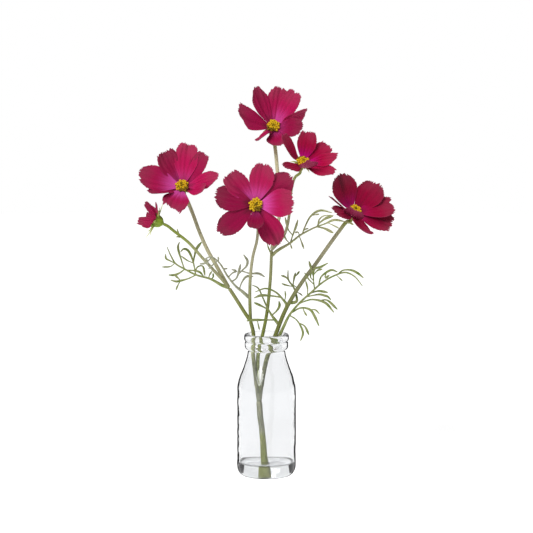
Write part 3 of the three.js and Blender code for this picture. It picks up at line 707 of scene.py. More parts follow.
class Paint:
    """A material made of nodes round one shader."""

    def __init__(self, name):
        self.material = bpy.data.materials.new(name)
        self.material.use_nodes = True
        self.tree = self.material.node_tree
        self.shader = self.tree.nodes["Principled BSDF"]

    def feed(self, socket, value):
        """Links a value to a socket, or sets the socket to a number or colour."""
        if isinstance(value, Value):
            self.tree.links.new(value.socket, socket)
        elif socket.type == "RGBA":
            socket.default_value = (*value, 1)
        else:
            socket.default_value = value

    def node(self, kind, settings, sockets, out=0):
        """Adds a node with its settings and its sockets' values, and gives one of its outputs."""
        made = self.tree.nodes.new(kind)
        for key, setting in settings.items():
            setattr(made, key, setting)
        for place, value in sockets.items():
            self.feed(made.inputs[place], value)
        return Value(self, made.outputs[out])

    def math(self, operation, *values):
        return self.node("ShaderNodeMath", {"operation": operation}, dict(enumerate(values)))

    def coordinates(self, kind):
        return self.node("ShaderNodeTexCoord", {}, {}, kind)

    def split(self, vector):
        """The three parts of a vector."""
        axes = self.node("ShaderNodeSeparateXYZ", {}, {0: vector}).socket.node.outputs
        return [Value(self, socket) for socket in axes]

    def attribute(self, name):
        return self.node("ShaderNodeAttribute", {"attribute_name": name}, {}, "Fac")

    def stretch(self, vector, scale):
        return self.node("ShaderNodeVectorMath", {"operation": "MULTIPLY"}, {0: vector, 1: scale})

    def vector(self, *values):
        return self.node("ShaderNodeCombineXYZ", {}, dict(enumerate(values)))

    def noise(self, vector, scale, detail):
        sockets = {"Vector": vector, "Scale": scale, "Detail": detail}
        return self.node("ShaderNodeTexNoise", {}, sockets)

    def rise(self, value, low, high):
        """0 below low, 1 above high and a smooth rise between them."""
        sockets = {"Value": value, 1: low, 2: high}
        return self.node("ShaderNodeMapRange", {"interpolation_type": "SMOOTHSTEP"}, sockets)

    def mix(self, share, first, second):
        """A colour that goes from the first to the second as the share goes from 0 to 1."""
        sockets = {0: share, 6: first, 7: second}
        return self.node("ShaderNodeMix", {"data_type": "RGBA"}, sockets, 2)

    def brighten(self, colour, factor):
        return self.node("ShaderNodeVectorMath", {"operation": "SCALE"}, {0: colour, 3: factor})

    def bump(self, height, strength, distance):
        """The surface's direction where it stands up by height, distance metres at the most."""
        sockets = {"Strength": strength, "Distance": distance, "Height": height}
        return self.node("ShaderNodeBump", {}, sockets)

    def finish(self, sockets):
        """Feeds these values to the shader's sockets and gives the material."""
        for place, value in sockets.items():
            self.feed(self.shader.inputs[place], value)
        return self.material


def petal_paint(name, bright, deep, blush):
    """Satin cloth with fine lengthwise veins, darker to its edge and blushed at its foot, with painted
    light and shade.
    """
    paint = Paint(name)
    across, along, _ = paint.split(paint.coordinates("UV"))
    side = abs(across * 2 - 1)
    order = paint.attribute("order")
    veins = paint.noise(paint.vector(across * 13, along * 1.1, order), 1, 3)
    threads = paint.noise(paint.vector(across * 90, along * 9, order), 1, 1)
    cloud = paint.noise(paint.vector(across * 3, along * 2.5, order), 1, 2)
    outward = paint.rise(along + 0.5 * cloud, 0.6, 1.15)
    colour = paint.mix(outward, bright, deep)
    colour = paint.mix(paint.rise(veins, 0.5, 0.75) * 0.2, colour, deep)
    # The tip and sides are lightened: partly the petal's paler edge, partly painted sheen.
    rim = paint.rise(along + 0.08 * threads, 0.93, 1.04) + paint.rise(side, 0.93, 1) * 0.3
    colour = paint.mix(rim * 0.3, colour, tint(196, 110, 140))
    # Painted shade in the fold along the middle of the more folded petals.
    crease = (1 - paint.rise(side, 0.0, 0.3)) * paint.rise(along, 0.25, 0.6)
    colour = paint.mix(crease * paint.attribute("crease"), colour, tuple(0.35 * c for c in deep))
    pink = paint.attribute("pink")
    foot = 1 - paint.rise(along + 0.25 * veins - 0.12 * pink, 0, 0.55)
    colour = paint.mix(foot * foot * pink, colour, blush)
    # Painted shade where the petals meet the disc, lighter where they blush.
    throat = 1 - paint.rise(along + 0.1 * side, 0.1, 0.26)
    colour = paint.mix(throat * (0.7 - 0.6 * pink), colour, tuple(0.45 * c for c in deep))
    colour = paint.mix(paint.attribute("behind") * 0.6, colour, tint(142, 44, 84))
    # Each petal is lit or shaded by its painted shade value.
    colour = paint.brighten(colour, paint.attribute("shade") + 0.94 + 0.12 * threads)
    height = 0.8 * veins + 0.2 * threads
    return paint.finish({
        "Base Color": colour,
        "Roughness": 0.55 + 0.2 * veins,
        "Normal": paint.bump(height, 0.2, 0.0006),
        "Specular IOR Level": 0.2,
        "Sheen Weight": 0.06,
        "Sheen Roughness": 0.4,
        "Sheen Tint": (1, 0.5, 0.75),
    })


def disc_paint(petals):
    """Soft yellow florets with painted shade between them and painted shadow on one side of the rim,
    darker in the pit, partly as painted shade, and brown on a few tips.
    """
    paint = Paint("disc florets")
    age = paint.attribute("age")
    grain = paint.noise(paint.coordinates("Object"), 1800, 2)
    blotch = paint.noise(paint.coordinates("Object"), 330, 2)
    colour = paint.mix(paint.rise(blotch, 0.5, 0.7) * 0.5, petals.disc_colour, tint(196, 140, 22))
    colour = paint.mix(paint.rise(grain, 0.55, 0.75) * 0.35, colour, tint(240, 214, 90))
    # The age mark darkens the florets: painted shade and shadow, and brown on a few of them.
    colour = paint.mix(age, colour, petals.pit_colour)
    return paint.finish({
        "Base Color": colour,
        "Roughness": 0.8,
        "Normal": paint.bump(grain, 0.6, 0.0003),
    })


def stem_paint(greens):
    """Khaki skin with fine lengthwise ribs, olive at its foot and fresh green near the blooms."""
    paint = Paint("stem skin")
    place = paint.coordinates("Object")
    _, _, height = paint.split(place)
    ribs = paint.noise(paint.stretch(place, (900, 900, 55)), 1, 3)
    blotch = paint.noise(paint.stretch(place, (120, 120, 45)), 1, 3)
    # Between these heights, in metres, one colour of the skin gives way to the next.
    waterline, mouth, fork = (0.046, 0.054), (0.105, 0.14), (0.175, 0.25)
    low = paint.rise(height + 0.01 * blotch, *waterline)
    # The stem in the bottle is grey, partly as a painted reflection of the glass.
    colour = paint.mix(low, greens.foot_colour, greens.middle_colour)
    colour = paint.mix(paint.rise(height, *mouth), colour, greens.lower_colour)
    colour = paint.mix(paint.rise(height + 0.03 * blotch, *fork), colour, greens.stem_colour)
    colour = paint.mix(paint.attribute("fresh"), colour, greens.neck_colour)
    colour = paint.mix(paint.rise(ribs, 0.45, 0.7) * 0.35, colour, tint(98, 102, 52))
    colour = paint.mix(paint.rise(blotch, 0.55, 0.75) * 0.3, colour, tint(186, 182, 146))
    # Painted light and shade: some branches are made lighter or darker.
    colour = paint.brighten(colour, 1 + paint.attribute("light"))
    return paint.finish({
        "Base Color": colour,
        "Roughness": 0.6 + 0.2 * ribs,
        "Normal": paint.bump(ribs, 0.5, 0.0004),
        "Specular IOR Level": 0.35,
    })


def leaf_paint(name, base, dark, light):
    """Soft moulded leaflets with a paler middle line and fine mottling."""
    paint = Paint(name)
    around, along, _ = paint.split(paint.coordinates("UV"))
    place = paint.coordinates("Object")
    mottle = paint.noise(place, 240, 3)
    lines = paint.noise(paint.vector(around * 14, along * 3, 0), 1, 2)
    colour = paint.mix(paint.rise(mottle, 0.4, 0.7), base, dark)
    colour = paint.mix(paint.rise(lines, 0.5, 0.75) * 0.5, colour, light)
    colour = paint.mix(paint.rise(along, 0.75, 1) * 0.35, colour, light)
    return paint.finish({
        "Base Color": colour,
        "Roughness": 0.5 + 0.2 * mottle,
        "Normal": paint.bump(lines, 0.4, 0.0003),
        "Specular IOR Level": 0.35,
    })


def calyx_paint(greens):
    """Fresh green cup with lengthwise veins and paler tips to its bracts."""
    paint = Paint("calyx skin")
    around, along, _ = paint.split(paint.coordinates("UV"))
    pale = paint.attribute("pale")
    veins = paint.noise(paint.vector(around * 22, along * 2, pale), 1, 2)
    colour = paint.mix(paint.rise(veins, 0.45, 0.7) * 0.5, greens.calyx_colour, tint(84, 104, 24))
    colour = paint.mix(pale * paint.rise(along, 0.15, 0.85), colour, greens.bract_colour)
    return paint.finish({
        "Base Color": colour,
        "Roughness": 0.5 + 0.15 * veins,
        "Normal": paint.bump(veins, 0.4, 0.0003),
        "Specular IOR Level": 0.35,
    })


SURFACE_GREY = 0.34  # how far painted dark refraction greys the water's surface
CREEP_GREY = 0.4  # the same where the water creeps up the glass


def clear_paint(name, colour, index, ripple, rim, stray):
    """A clear body with a faint ripple on its surface. Its outer walls darken at their rims with
    painted dark refraction: rim gives the slants at which the dark sets in, is full, fades and is
    gone, and stray how far it wanders from them. The water's marked surface and its rim are greyed
    with painted dark refraction as well."""
    paint = Paint(name)
    place = paint.coordinates("Object")
    wave = paint.noise(place, 38, 1)
    material = paint.finish({
        "Base Color": colour,
        "Roughness": 0.0,
        "IOR": index,
        "Transmission Weight": 1.0,
        "Normal": paint.bump(wave, ripple, 0.0004),
    })
    clear = Value(paint, paint.shader.outputs[0])
    # A black shader, mixed in as painted dark refraction and as the painted grey of the water.
    dark = paint.node("ShaderNodeBsdfPrincipled", {}, {
        "Base Color": (0.004, 0.004, 0.005),
        "Roughness": 1.0,
        "Specular IOR Level": 0.0,
    })
    drift = paint.noise(paint.stretch(place, (20, 20, 90)), 1, 2)
    facing = paint.node("ShaderNodeLayerWeight", {}, {}, "Facing")
    slant = (facing + stray * (drift - 0.5)) * paint.attribute("outer")
    shade = paint.rise(slant, rim[0], rim[1]) * (1 - paint.rise(slant, rim[2], rim[3]))
    shade = shade + SURFACE_GREY * paint.attribute("film")
    inside = paint.node("ShaderNodeNewGeometry", {}, {}, "Backfacing")
    shade = shade * (1 - inside) + CREEP_GREY * paint.attribute("creep")
    mixed = paint.node("ShaderNodeMixShader", {}, {0: shade, 1: clear, 2: dark})
    paint.feed(paint.tree.nodes["Material Output"].inputs["Surface"], mixed)
    return material


def floor_paint(stage):
    """Pale matt paper."""
    paint = Paint("pale floor")
    fibre = paint.noise(paint.coordinates("Object"), 60, 2)
    colour = paint.mix(fibre * 0.1, stage.floor_colour, (0.88, 0.88, 0.88))
    return paint.finish({
        "Base Color": colour,
        "Roughness": 0.9,
        "Specular IOR Level": 0.05,
        "Emission Color": (1, 1, 1),
        "Emission Strength": 0.2,
    })


# ------------------------------------------------------------------ pieces

OPENING = (3.5, 9.5)  # where a blade begins to leave its claw's rise, and where it has its own
WIDE_PETAL = 25  # width of a petal that has its teeth and ruffles at full size
HEEL = 5  # radius of the corner inside the bottle's foot
FOOT_TOP = 15  # height up to which the bottle's walls turn under
UPRIGHT = 0.7  # slope over which a wall counts as upright
CREEP_WIDTH = 1.6  # of the rim where the water creeps up the glass


def petal_chances(name, order, settings):
    """What chance gives a petal: its teeth, nicks, pleats and ruffles, and where its waves begin."""
    width = BLOOMS[name]["petals"][order].width
    chance = np.random.default_rng(100 * list(BLOOMS).index(name) + order)
    depth = settings.tooth_depth / MM * (0.6 if name == "bud" else width / WIDE_PETAL)
    return SimpleNamespace(
        teeth=chance.uniform(0.15, 1, 7 if name == "bud" else 10) * depth,
        nicks=chance.uniform(0.1, 0.55, (2, 24)) * depth,
        phases=chance.uniform(0, 2 * np.pi, 5),
        pleat=settings.pleat_depth / MM * chance.uniform(0.6, 1.4),
        ruffle=chance.uniform(0.4, 1.1) * width / WIDE_PETAL,
    )


def petal_way(form, claw, along):
    """The way that a petal's middle line runs, so far along it."""
    share = along / form.length
    opened = ease(along, *OPENING)
    lift = np.radians(claw + (form.rise + form.bend * (share - 0.5) - claw) * opened)
    side = np.radians(form.sweep * share * share)
    return np.stack(
        [np.cos(lift) * np.cos(side), np.cos(lift) * np.sin(side), np.sin(lift)], axis=-1
    )


def petal_reach(form, chances, t, share):
    """How far along a petal a point lies, which falls back at its sides and between its teeth."""
    last = len(chances.teeth) - 1
    comb = (t + 1) / 2 * last + 0.5 * np.sin(5 * t + chances.phases[0])
    tooth = np.clip(np.rint(comb), 0, last).astype(int)
    cut = chances.teeth[tooth] * (1 - 2 * np.minimum(np.abs(comb - tooth), 0.5))
    wander = 0.7 * np.sin(3.1 * t + chances.phases[1]) + 0.4 * np.sin(6.7 * t + chances.phases[2])
    fall = 1 - (0.16 + (form.point - 0.16) * share**6) * t * t * share
    along = form.length * share * fall - (cut + wander - 0.4) * share**14
    return along + form.skew * t * share**4


def petal_half(form, chances, t, share):
    """Half of a petal's width: narrow at its claw, rounded at its end, and nicked at its sides."""
    widest = 0.74
    narrow = 0.17 + 0.83 * np.sin(np.pi / 2 * np.minimum(share / widest, 1)) ** 1.15
    broad = np.sqrt(1 - (np.maximum(share - widest, 0) / 0.38) ** 2)
    half = form.width / 2 * np.where(share < widest, narrow, broad)
    side = share * 18 + 0.4 * np.sin(23 * share + chances.phases[3])
    nick = np.rint(side).astype(int)
    cut = chances.nicks[(t > 0).astype(int), nick] * (1 - 2 * np.abs(side - nick))
    return half - cut * np.abs(t) ** 12 * ease(share, 0.55, 0.75)


def petal_relief(form, chances, t, share, half):
    """How high a point stands on a petal, which is cupped, folded, pleated and ruffled."""
    cup = 0.12 * half * t * t * np.minimum(1, 2 * share)
    fold = form.fold * np.exp(-((t / 0.2) ** 2)) * np.sin(np.pi * share) ** 0.7
    pleats = chances.pleat * np.cos(2 * np.pi * 2.5 * t + chances.phases[4])
    ruffles = chances.ruffle * np.sin(4.5 * t + 3 * share + chances.phases[1])
    return cup - fold + pleats * ease(share, 0.05, 0.5) + ruffles * ease(share, 0.45, 1)


def petal_sheet(name, order, settings):
    """One petal: a claw at the disc that widens to a toothed end, cupped, pleated and folded."""
    form = BLOOMS[name]["petals"][order]
    chances = petal_chances(name, order, settings)
    seat = -0.35 if order % 2 else 0.35  # every second petal sits lower
    claw = 15 if seat > 0 else 9
    run = np.linspace(0, 1.3 * form.length, 79)
    steps = petal_way(form, claw, (run[1:] + run[:-1]) / 2) * run[1]
    line = np.vstack([[0, 0, 0], np.cumsum(steps, axis=0)]) + [3, 0, seat]

    def place(u, v):
        t = 1 - 2 * u
        share = 1 - (1 - v) ** 1.5
        along = petal_reach(form, chances, t, share)
        half = petal_half(form, chances, t, share)
        rise = petal_relief(form, chances, t, share, half)
        forward = petal_way(form, claw, along)
        level = np.array([0, 1, 0]) - forward[:, 1:2] * forward
        level /= np.linalg.norm(level, axis=1)[:, None]
        above = np.cross(forward, level)
        twist = np.radians(form.roll) * np.minimum(1, 2 * along / form.length)
        right = level * np.cos(twist)[:, None] + above * np.sin(twist)[:, None]
        up = np.cross(forward, right)
        points = points_at(along, run, line) + right * (half * t)[:, None] + up * rise[:, None]
        return in_bloom(name, points, form.turn)

    columns, rows = (36, 24) if name == "bud" else (72, 44)
    blade = thicken(sheet(f"petal_{order}", columns, rows, place), settings.thickness)
    # Solidify adds the corners of a blade's back after those of its front.
    behind = np.arange(len(blade.data.vertices)) >= (columns + 1) * (rows + 1)
    behind = behind & (name != "bud")
    # How deep the painted shade in its middle fold is.
    crease = 0.5 * max(0, form.fold - 0.6)
    return mark(blade, pink=form.pink, shade=form.shade, crease=crease, behind=behind,
                order=3.7 * order)


def hub(name):
    """The small lens that the petals' claws meet in."""
    radius = 3.4 if name == "bud" else 4.6
    half = 0.7
    lens = arc((0, -half), (radius, -half), (radius, 0), count=8)
    lens = np.vstack([lens, lens[-2::-1] * [1, -1]])
    piece = move_to_bloom(turned("hub", lens, 24), name)
    # The hub is darkened with painted shade.
    return mark(piece, pink=0, shade=-0.3, crease=0, behind=0, order=0)


def move_to_bloom(piece, name):
    """Moves a piece modelled in a bloom's own directions to where the bloom is."""
    origin, axes = bloom_axes(BLOOMS[name])
    place = Matrix.Translation(Vector(origin * MM)) @ Matrix(axes.T.tolist()).to_4x4()
    piece.data.transform(place)
    return piece


def floret():
    """One floret of a disc: a short five-lobed tube with a knob in its mouth."""
    middle = 1 * MM
    bpy.ops.object.select_all(action="DESELECT")
    bpy.ops.mesh.primitive_cone_add(
        vertices=10, radius1=0.8 * MM, radius2=1.25 * MM, depth=2 * middle, location=(0, 0, middle)
    )
    piece = bpy.context.object
    bpy.ops.object.transform_apply(location=True)
    for vertex in piece.data.vertices:
        if vertex.co.z > middle:
            angle = math.atan2(vertex.co.y, vertex.co.x)
            lobe = 0.5 + 0.5 * math.cos(5 * angle)
            vertex.co.x *= 0.86 + 0.2 * lobe
            vertex.co.y *= 0.86 + 0.2 * lobe
            vertex.co.z -= 0.2 * MM * (1 - lobe)
    bpy.ops.object.mode_set(mode="EDIT")
    bpy.ops.mesh.select_mode(type="FACE")
    bpy.ops.mesh.select_all(action="DESELECT")
    bpy.ops.object.mode_set(mode="OBJECT")
    top = max(piece.data.polygons, key=lambda face: face.center.z if len(face.vertices) > 4 else 0)
    top.select = True
    bpy.ops.object.mode_set(mode="EDIT")
    for thickness, depth in ((0.35, 0.5), (0.3, 0.1), (0.15, -0.4)):
        bpy.ops.mesh.inset(thickness=thickness * MM, depth=depth * MM)
    bpy.ops.object.mode_set(mode="OBJECT")
    return piece


def disc_dome(radius):
    """Height of the dome of florets at a distance from the disc's axis."""
    return 3.3 - 2.4 * (radius / 6) ** 2.4 - 0.9 * np.exp(-((radius / 1.7) ** 2))


def disc_piece(name):
    """A disc: a low dome covered with florets, which lean outwards more towards its rim."""
    chance = np.random.default_rng(40 + list(BLOOMS).index(name))
    side = BLOOMS[name]["shaded_side"]
    radii = np.linspace(0, 5.6, 9)
    crown = np.stack([radii, disc_dome(radii)], axis=1)
    crown = np.vstack([[(0, 1.4), (3, 1.4), (5.5, 1.6)], crown[::-1]])
    # The dome shows between the florets, darkened with painted shade.
    pieces = [mark(turned("dome", crown, 32), age=0.6)]
    pattern = floret()
    reach = 5.15  # radius of the outermost ring
    for k in range(FLORET_COUNT):
        radius = reach * math.sqrt((k + 0.4) / FLORET_COUNT)
        angle = math.radians(FLORET_TURN * k)
        lean = math.radians(5 + 55 * (radius / reach) ** 1.8)
        size = (0.72 + 0.34 * radius / reach) * chance.uniform(0.88, 1.12)
        spot = Vector((radius * math.cos(angle), radius * math.sin(angle), disc_dome(radius)))
        copy = pattern.copy()
        copy.data = pattern.data.copy()
        bpy.context.collection.objects.link(copy)
        copy.data.transform(
            Matrix.Translation(spot * MM)
            @ Matrix.Rotation(angle, 4, "Z")
            @ Matrix.Rotation(lean, 4, "Y")
            @ Matrix.Rotation(chance.uniform(0, 6), 4, "Z")
            @ Matrix.Diagonal((size, size, size * chance.uniform(0.85, 1.1), 1))
        )
        # Darker towards the middle, partly as painted shade in the pit.
        age = 0.9 * math.exp(-((radius / 1.3) ** 2))
        # Rim florets on the shaded side get painted shadow; here and there another one turns brown.
        shaded_side = radius > 3.4 and math.cos(angle - math.radians(side)) > 0.65
        if shaded_side or chance.uniform() < 0.1:
            age = 0.75
        pieces.append(mark(copy, age=age))
    bpy.data.objects.remove(pattern)
    return move_to_bloom(join(name + "_florets", pieces), name)


def bract(name, turn, rise, length, root, width, pale):
    """A narrow pointed blade that springs from the rim of a calyx and curls back at its tip."""
    claw, curl, count = 9, 16, 30
    run = np.linspace(0, length, count + 1)
    opened = ease(run, *OPENING)
    lift = np.radians(claw + (rise - curl * (run / length - 0.5) - claw) * opened)
    steps = np.stack([np.cos(lift), np.sin(lift)], axis=1)[1:] * (length / count)
    line = np.vstack([[0, 0], np.cumsum(steps, axis=0)]) + root

    def place(u, v):
        t = 1 - 2 * u
        half = width * np.sin(np.pi * (0.28 + 0.72 * v)) ** 0.8 * (1 - v**6)
        x, z = points_at(v * length, run, line).T
        return in_bloom(name, np.stack([x, half * t, z + 0.35 * half * t * t], axis=1), turn)

    blade = thicken(sew(sheet("bract", 6, 14, place)), 0.45 * MM)
    return mark(blade, pale=pale)


def calyx_piece(name):
    """A calyx: a ribbed cup on a swollen neck, a ring of spreading bracts and one of short ones."""
    bud = name == "bud"
    wide = 6.6 if bud else 4.5
    depth = BUD_CUP_DEPTH if bud else CALYX_DEPTH
    if bud:
        spots = [(1.5, -depth), (2.6, 1 - depth), (4.6, -5.4), (5.8, -3), (wide, 0), (wide + 0.3, 3)]
    else:
        spots = [(1.5, -depth), (1.9, 1.2 - depth), (2.3, -6), (2.4, -4.6), (3.6, -2.8),
                 (wide, -0.8), (wide - 0.3, 0)]
    spots = [(radius, 0, CALYX_TOP + height) for radius, height in spots]
    side = smooth_line(spots, 28)[:, [0, 2]]
    profile = np.vstack([[(0, side[0][1])], side, [(0, CALYX_TOP)]])

    def ribbed(radius, height, angle):
        return radius * (1 + 0.035 * np.cos(8 * angle) * ease(radius, 1.5, 4))

    pieces = [mark(move_to_bloom(turned("cup", profile, 48, ribbed), name), pale=0)]
    # The ring of spreading bracts springs a little below the ring of short, broad ones.
    root = (wide - 1.6, CALYX_TOP - 1.1)
    for shape in BUD_BRACTS if bud else CALYX_BRACTS:
        pieces.append(bract(name, *shape, root, width=1.15, pale=1))
    root = (wide - (1 if bud else 2), CALYX_TOP - 0.1)
    rise, length = (62, 8) if bud else (-4, 6.5)
    for k in range(8):
        pieces.append(bract(name, 45 * k, rise, length, root, width=1.9, pale=0.6))
    return join(name + "_cup", pieces)


def frond_point(frond, across, up):
    """Where a point of a frond lies in space: its depth follows a waved sheet."""
    first_across, first_up = frond["twigs"][0][0]
    reach = math.hypot(across - first_across, up - first_up)
    height = frond["wave"] * min(1, reach / WAVE_REACH)
    wave = height * math.sin(across / 6 + up / 9 + frond["phase"])
    slope = frond["across"] * (across - first_across) + frond["up"] * (up - first_up)
    return seen(across, up, frond["foot"] + slope + wave)


def nearest_on(lines, root):
    """The point of these lines that lies nearest to a new twig's root."""
    best = None
    for line in lines:
        for start, end in zip(line[:-1], line[1:]):
            way = end - start
            share = np.clip((root - start).dot(way) / way.dot(way), 0, 1)
            point = start + share * way
            if best is None or np.linalg.norm(point - root) < np.linalg.norm(best - root):
                best = point
    return best


def frond_piece(name, greens):
    """A feathery frond: a rib that thins out, and flat twigs that broaden before their tips."""
    frond = FRONDS[name]
    chance = np.random.default_rng(70 + list(FRONDS).index(name))
    half = greens.leaflet_width / MM / 2
    facing = np.array([frond["across"], -1, frond["up"]])
    lines = []
    pieces = []
    for twig in frond["twigs"] + frond["leaflets"]:
        points = [frond_point(frond, *spot) for spot in twig]
        if lines:
            points[0] = nearest_on(lines, points[0])
        lines.append(points)
        tilt = facing + chance.uniform(-0.35, 0.35, 3)
        if not pieces:
            pieces.append(stalk("rib", points, RIB_RADII, flat=0.75, facing=facing, step=1.6))
            continue
        run = sum(np.linalg.norm(end - start) for start, end in zip(points[:-1], points[1:]))
        size = chance.uniform(0.85, 1.15) * np.clip(run / FULL_TWIG, 0.7, 1)
        radii = [half * size * share for share in TWIG_WIDTHS]
        pieces.append(
            stalk("twig", points, radii, sides=8, step=1.3, flat=greens.flatness, facing=tilt)
        )
    return join(name + "_blades", pieces)


def stem_piece():
    """The stem with all of its branches, one growing out of another."""
    line = [*TRUNK_FOOT, *(seen(*point) for point in TRUNK)]
    trunk = stalk("trunk", line, TRUNK_RADII, sides=20, step=2, foot=0.2)
    pieces = [mark(trunk, fresh=0, light=0)]
    for name, (radii, points) in BRANCHES.items():
        line = [seen(*point) for point in points]
        bloom = next((key for key, value in BLOOMS.items() if value["branch"] == name), None)
        if bloom:
            line += [calyx_end(bloom, 4), calyx_end(bloom, -0.6)]
        branch = stalk(name, line, radii, sides=16, step=1.6)
        green = BRANCH_GREEN.get(name, 0)
        if bloom:
            spots = np.array([vertex.co for vertex in branch.data.vertices]) / MM
            away = np.linalg.norm(spots - line[-1], axis=1)
            neck = LONG_NECK_LENGTH if name in LONG_NECKS else NECK_LENGTH
            green = 1 - ease(away, 0.2 * neck, neck)
        pieces.append(mark(branch, fresh=green, light=BRANCH_LIGHT.get(name, 0)))
    for bract_points in STEM_BRACTS:
        line = [seen(*point) for point in bract_points]
        bract_blade = stalk("leafy bract", line, (0.9, 0.9, 0.3), flat=0.5, sides=8)
        pieces.append(mark(bract_blade, fresh=0.8, light=0))
    return join("stem_skin", pieces)


def wavy(waviness, inner, throat):
    """How the turned glass strays from round: only its inner wall, and only a little."""

    def wander(radius, height, angle):
        off = np.sin(height / 7.3) + 0.7 * np.sin(height / 3.1 + 1) + np.sin(2 * angle + height / 18)
        near = ease(radius, 14, inner - 1) * (1 - ease(radius, inner + 0.3, inner + 1.2))
        above_foot = ease(height, 18, 30)
        below_throat = 1 - ease(height, throat - 6, throat)
        return radius + waviness * off * near * above_foot * below_throat

    return wander


def inside_foot(inner, floor):
    """From the inner wall round the heel and over the floor, which rises a little to its middle."""
    return np.vstack([
        arc((inner, floor + HEEL), (inner, floor), (inner - HEEL, floor), count=14),
        [(12, floor + 0.15), (6, floor + 0.35), (0, floor + 0.4)],
    ])


def bottle_piece(glass):
    """A thick-walled bottle: rounded foot, straight body, long shoulder and a double collar."""
    radius, height, wall = (value / MM for value in (glass.radius, glass.height, glass.wall))
    inner = radius - wall
    neck, collar, bore, foot = 18.8, 22, 16.5, 19  # radii
    floor, shoulder, throat = 2.4, height - 57, height - 17  # heights
    outline = np.vstack([
        [(0, 0.03), (foot - 3, 0.03), (foot - 1.2, 0.02)],
        arc((foot, 0), (radius, 0), (radius, 13), count=16),
        [(radius, z) for z in np.linspace(18, shoulder - 4, 16)],
        arc((radius, shoulder), (radius, shoulder + 12), (neck + 1.7, shoulder + 25),
            (neck, throat), count=24),
        arc((neck + 0.3, throat + 0.8), (collar - 0.6, throat + 1.6), (collar, throat + 4), count=6),
        arc((collar, throat + 7), (collar, throat + 8.6), (collar - 1, throat + 9.3), count=5),
        arc((collar - 0.8, throat + 9.8), (collar + 0.5, throat + 10.2), (collar + 0.6, throat + 12),
            count=6),
        arc((collar + 0.6, throat + 14), (collar + 0.5, height), (collar - 2, height), count=9),
        arc((collar - 3, height), (bore, height), (bore, height - 2), count=8),
        [(bore, z) for z in np.linspace(height - 5, throat - 1, 8)],
        arc((bore, throat - 1.5), (bore + 1.4, shoulder + 24), (inner, shoulder + 10),
            (inner, shoulder - 2), count=28),
        [(inner, z) for z in np.linspace(shoulder - 5, floor + HEEL + 2, 32)],
        inside_foot(inner, floor),
    ])
    return turned("clear_bottle", outline, 96, wavy(glass.waviness / MM, inner, throat))


def water_piece(glass):
    """The water: it wets the glass all round and creeps up a little at its rim."""
    inner = (glass.radius - glass.wall) / MM + 0.12
    level, floor = glass.water_level / MM, 2.3  # its foot reaches a little into the glass
    outline = np.vstack([
        inside_foot(inner, floor)[::-1],
        [(inner, z) for z in np.linspace(floor + HEEL + 1, level + 0.9, 8)],
        arc((inner - 0.3, level + 0.8), (inner - 0.6, level), (inner - 2.2, level), count=6),
        [(across, level) for across in np.linspace(inner - 5, 0, 8)],
    ])
    return turned("clear_water", outline, 96)


def mark_outer(piece, slopes, shares):
    """Marks the upright walls of a turned piece that face away from its axis, for the painted dark
    refraction at their rims. Where they turn under at its foot the mark follows their slope: these
    shares of it at these slopes."""
    outer = []
    for vertex in piece.data.vertices:
        away = Vector((vertex.co.x, vertex.co.y, 0)).normalized()
        slope = vertex.normal.dot(away)
        low = vertex.co.z < FOOT_TOP * MM
        outer.append(np.interp(slope, slopes, shares) if low else slope > UPRIGHT)
    return mark(piece, outer=np.array(outer))


def mark_surface(water, glass):
    """Marks the water's surface, and the rim where it creeps up the glass, for their painted
    dark refraction.
    """
    spots = np.array([vertex.co for vertex in water.data.vertices])
    high = spots[:, 2] > glass.water_level - 0.3 * MM
    wide = np.hypot(spots[:, 0], spots[:, 1]) > glass.radius - glass.wall - CREEP_WIDTH * MM
    return mark(water, creep=high & wide, film=high & ~wide)


# ------------------------------------------------------------------ operators


class COSMOS_OT_bottle(bpy.types.Operator):
    """Adds the clear glass bottle"""

    bl_idname = "cosmos.bottle"
    bl_label = "Add Bottle"

    def execute(self, context):
        glass = context.scene.cosmos_glass
        paint = clear_paint(
            "clear glass", glass.glass_colour, index=1.5, ripple=0.05,
            rim=(0.62, 0.7, 0.83, 0.88), stray=0.3,
        )
        piece = mark_outer(bottle_piece(glass), slopes=(0.45, 0.46), shares=(0, 0.88))
        piece.visible_shadow = False
        fit_out(piece, "clear_glass", paint, "bottle", sharp=80)
        return {"FINISHED"}


class COSMOS_OT_water(bpy.types.Operator):
    """Adds the water in the bottle"""

    bl_idname = "cosmos.water"
    bl_label = "Add Water"

    def execute(self, context):
        glass = context.scene.cosmos_glass
        paint = clear_paint(
            "clear water", glass.water_colour, index=1.33, ripple=0.02,
            rim=(0.155, 0.17, 0.27, 0.3), stray=0.02,
        )
        piece = mark_outer(
            water_piece(glass), slopes=(0.3, 0.31, 0.5, 0.7, 0.9, 1),
            shares=(0, 0.18, 0.24, 0.37, 0.55, 1),
        )
        mark_surface(piece, glass)
        piece.visible_shadow = False
        fit_out(piece, "clear_water", paint, "water", sharp=50)
        return {"FINISHED"}


class COSMOS_OT_stem(bpy.types.Operator):
    """Adds the stem and its branches"""

    bl_idname = "cosmos.stem"
    bl_label = "Add Stem"

    def execute(self, context):
        paint = stem_paint(context.scene.cosmos_greens)
        fit_out(stem_piece(), "stem_green", paint, "stem", sharp=70)
        return {"FINISHED"}


class COSMOS_OT_leaves(bpy.types.Operator):
    """Adds the feathery fronds"""

    bl_idname = "cosmos.leaves"
    bl_label = "Add Leaves"

    def execute(self, context):
        greens = context.scene.cosmos_greens
        fresh = leaf_paint(
            "leaflets", greens.leaf_colour, dark=tint(102, 122, 48), light=tint(172, 180, 122)
        )
        dusty = leaf_paint(
            "dusty leaflets", greens.dusty_colour, dark=tint(130, 132, 104), light=tint(196, 196, 176)
        )
        pale = leaf_paint(
            "pale leaflets", greens.pale_colour, dark=tint(134, 142, 86), light=tint(190, 192, 150)
        )
        paints = {"leaf_high_left": dusty, "leaf_high_right": pale}
        for name in FRONDS:
            piece = frond_piece(name, greens)
            fit_out(piece, "leaf_green", paints.get(name, fresh), name, sharp=70)
        return {"FINISHED"}


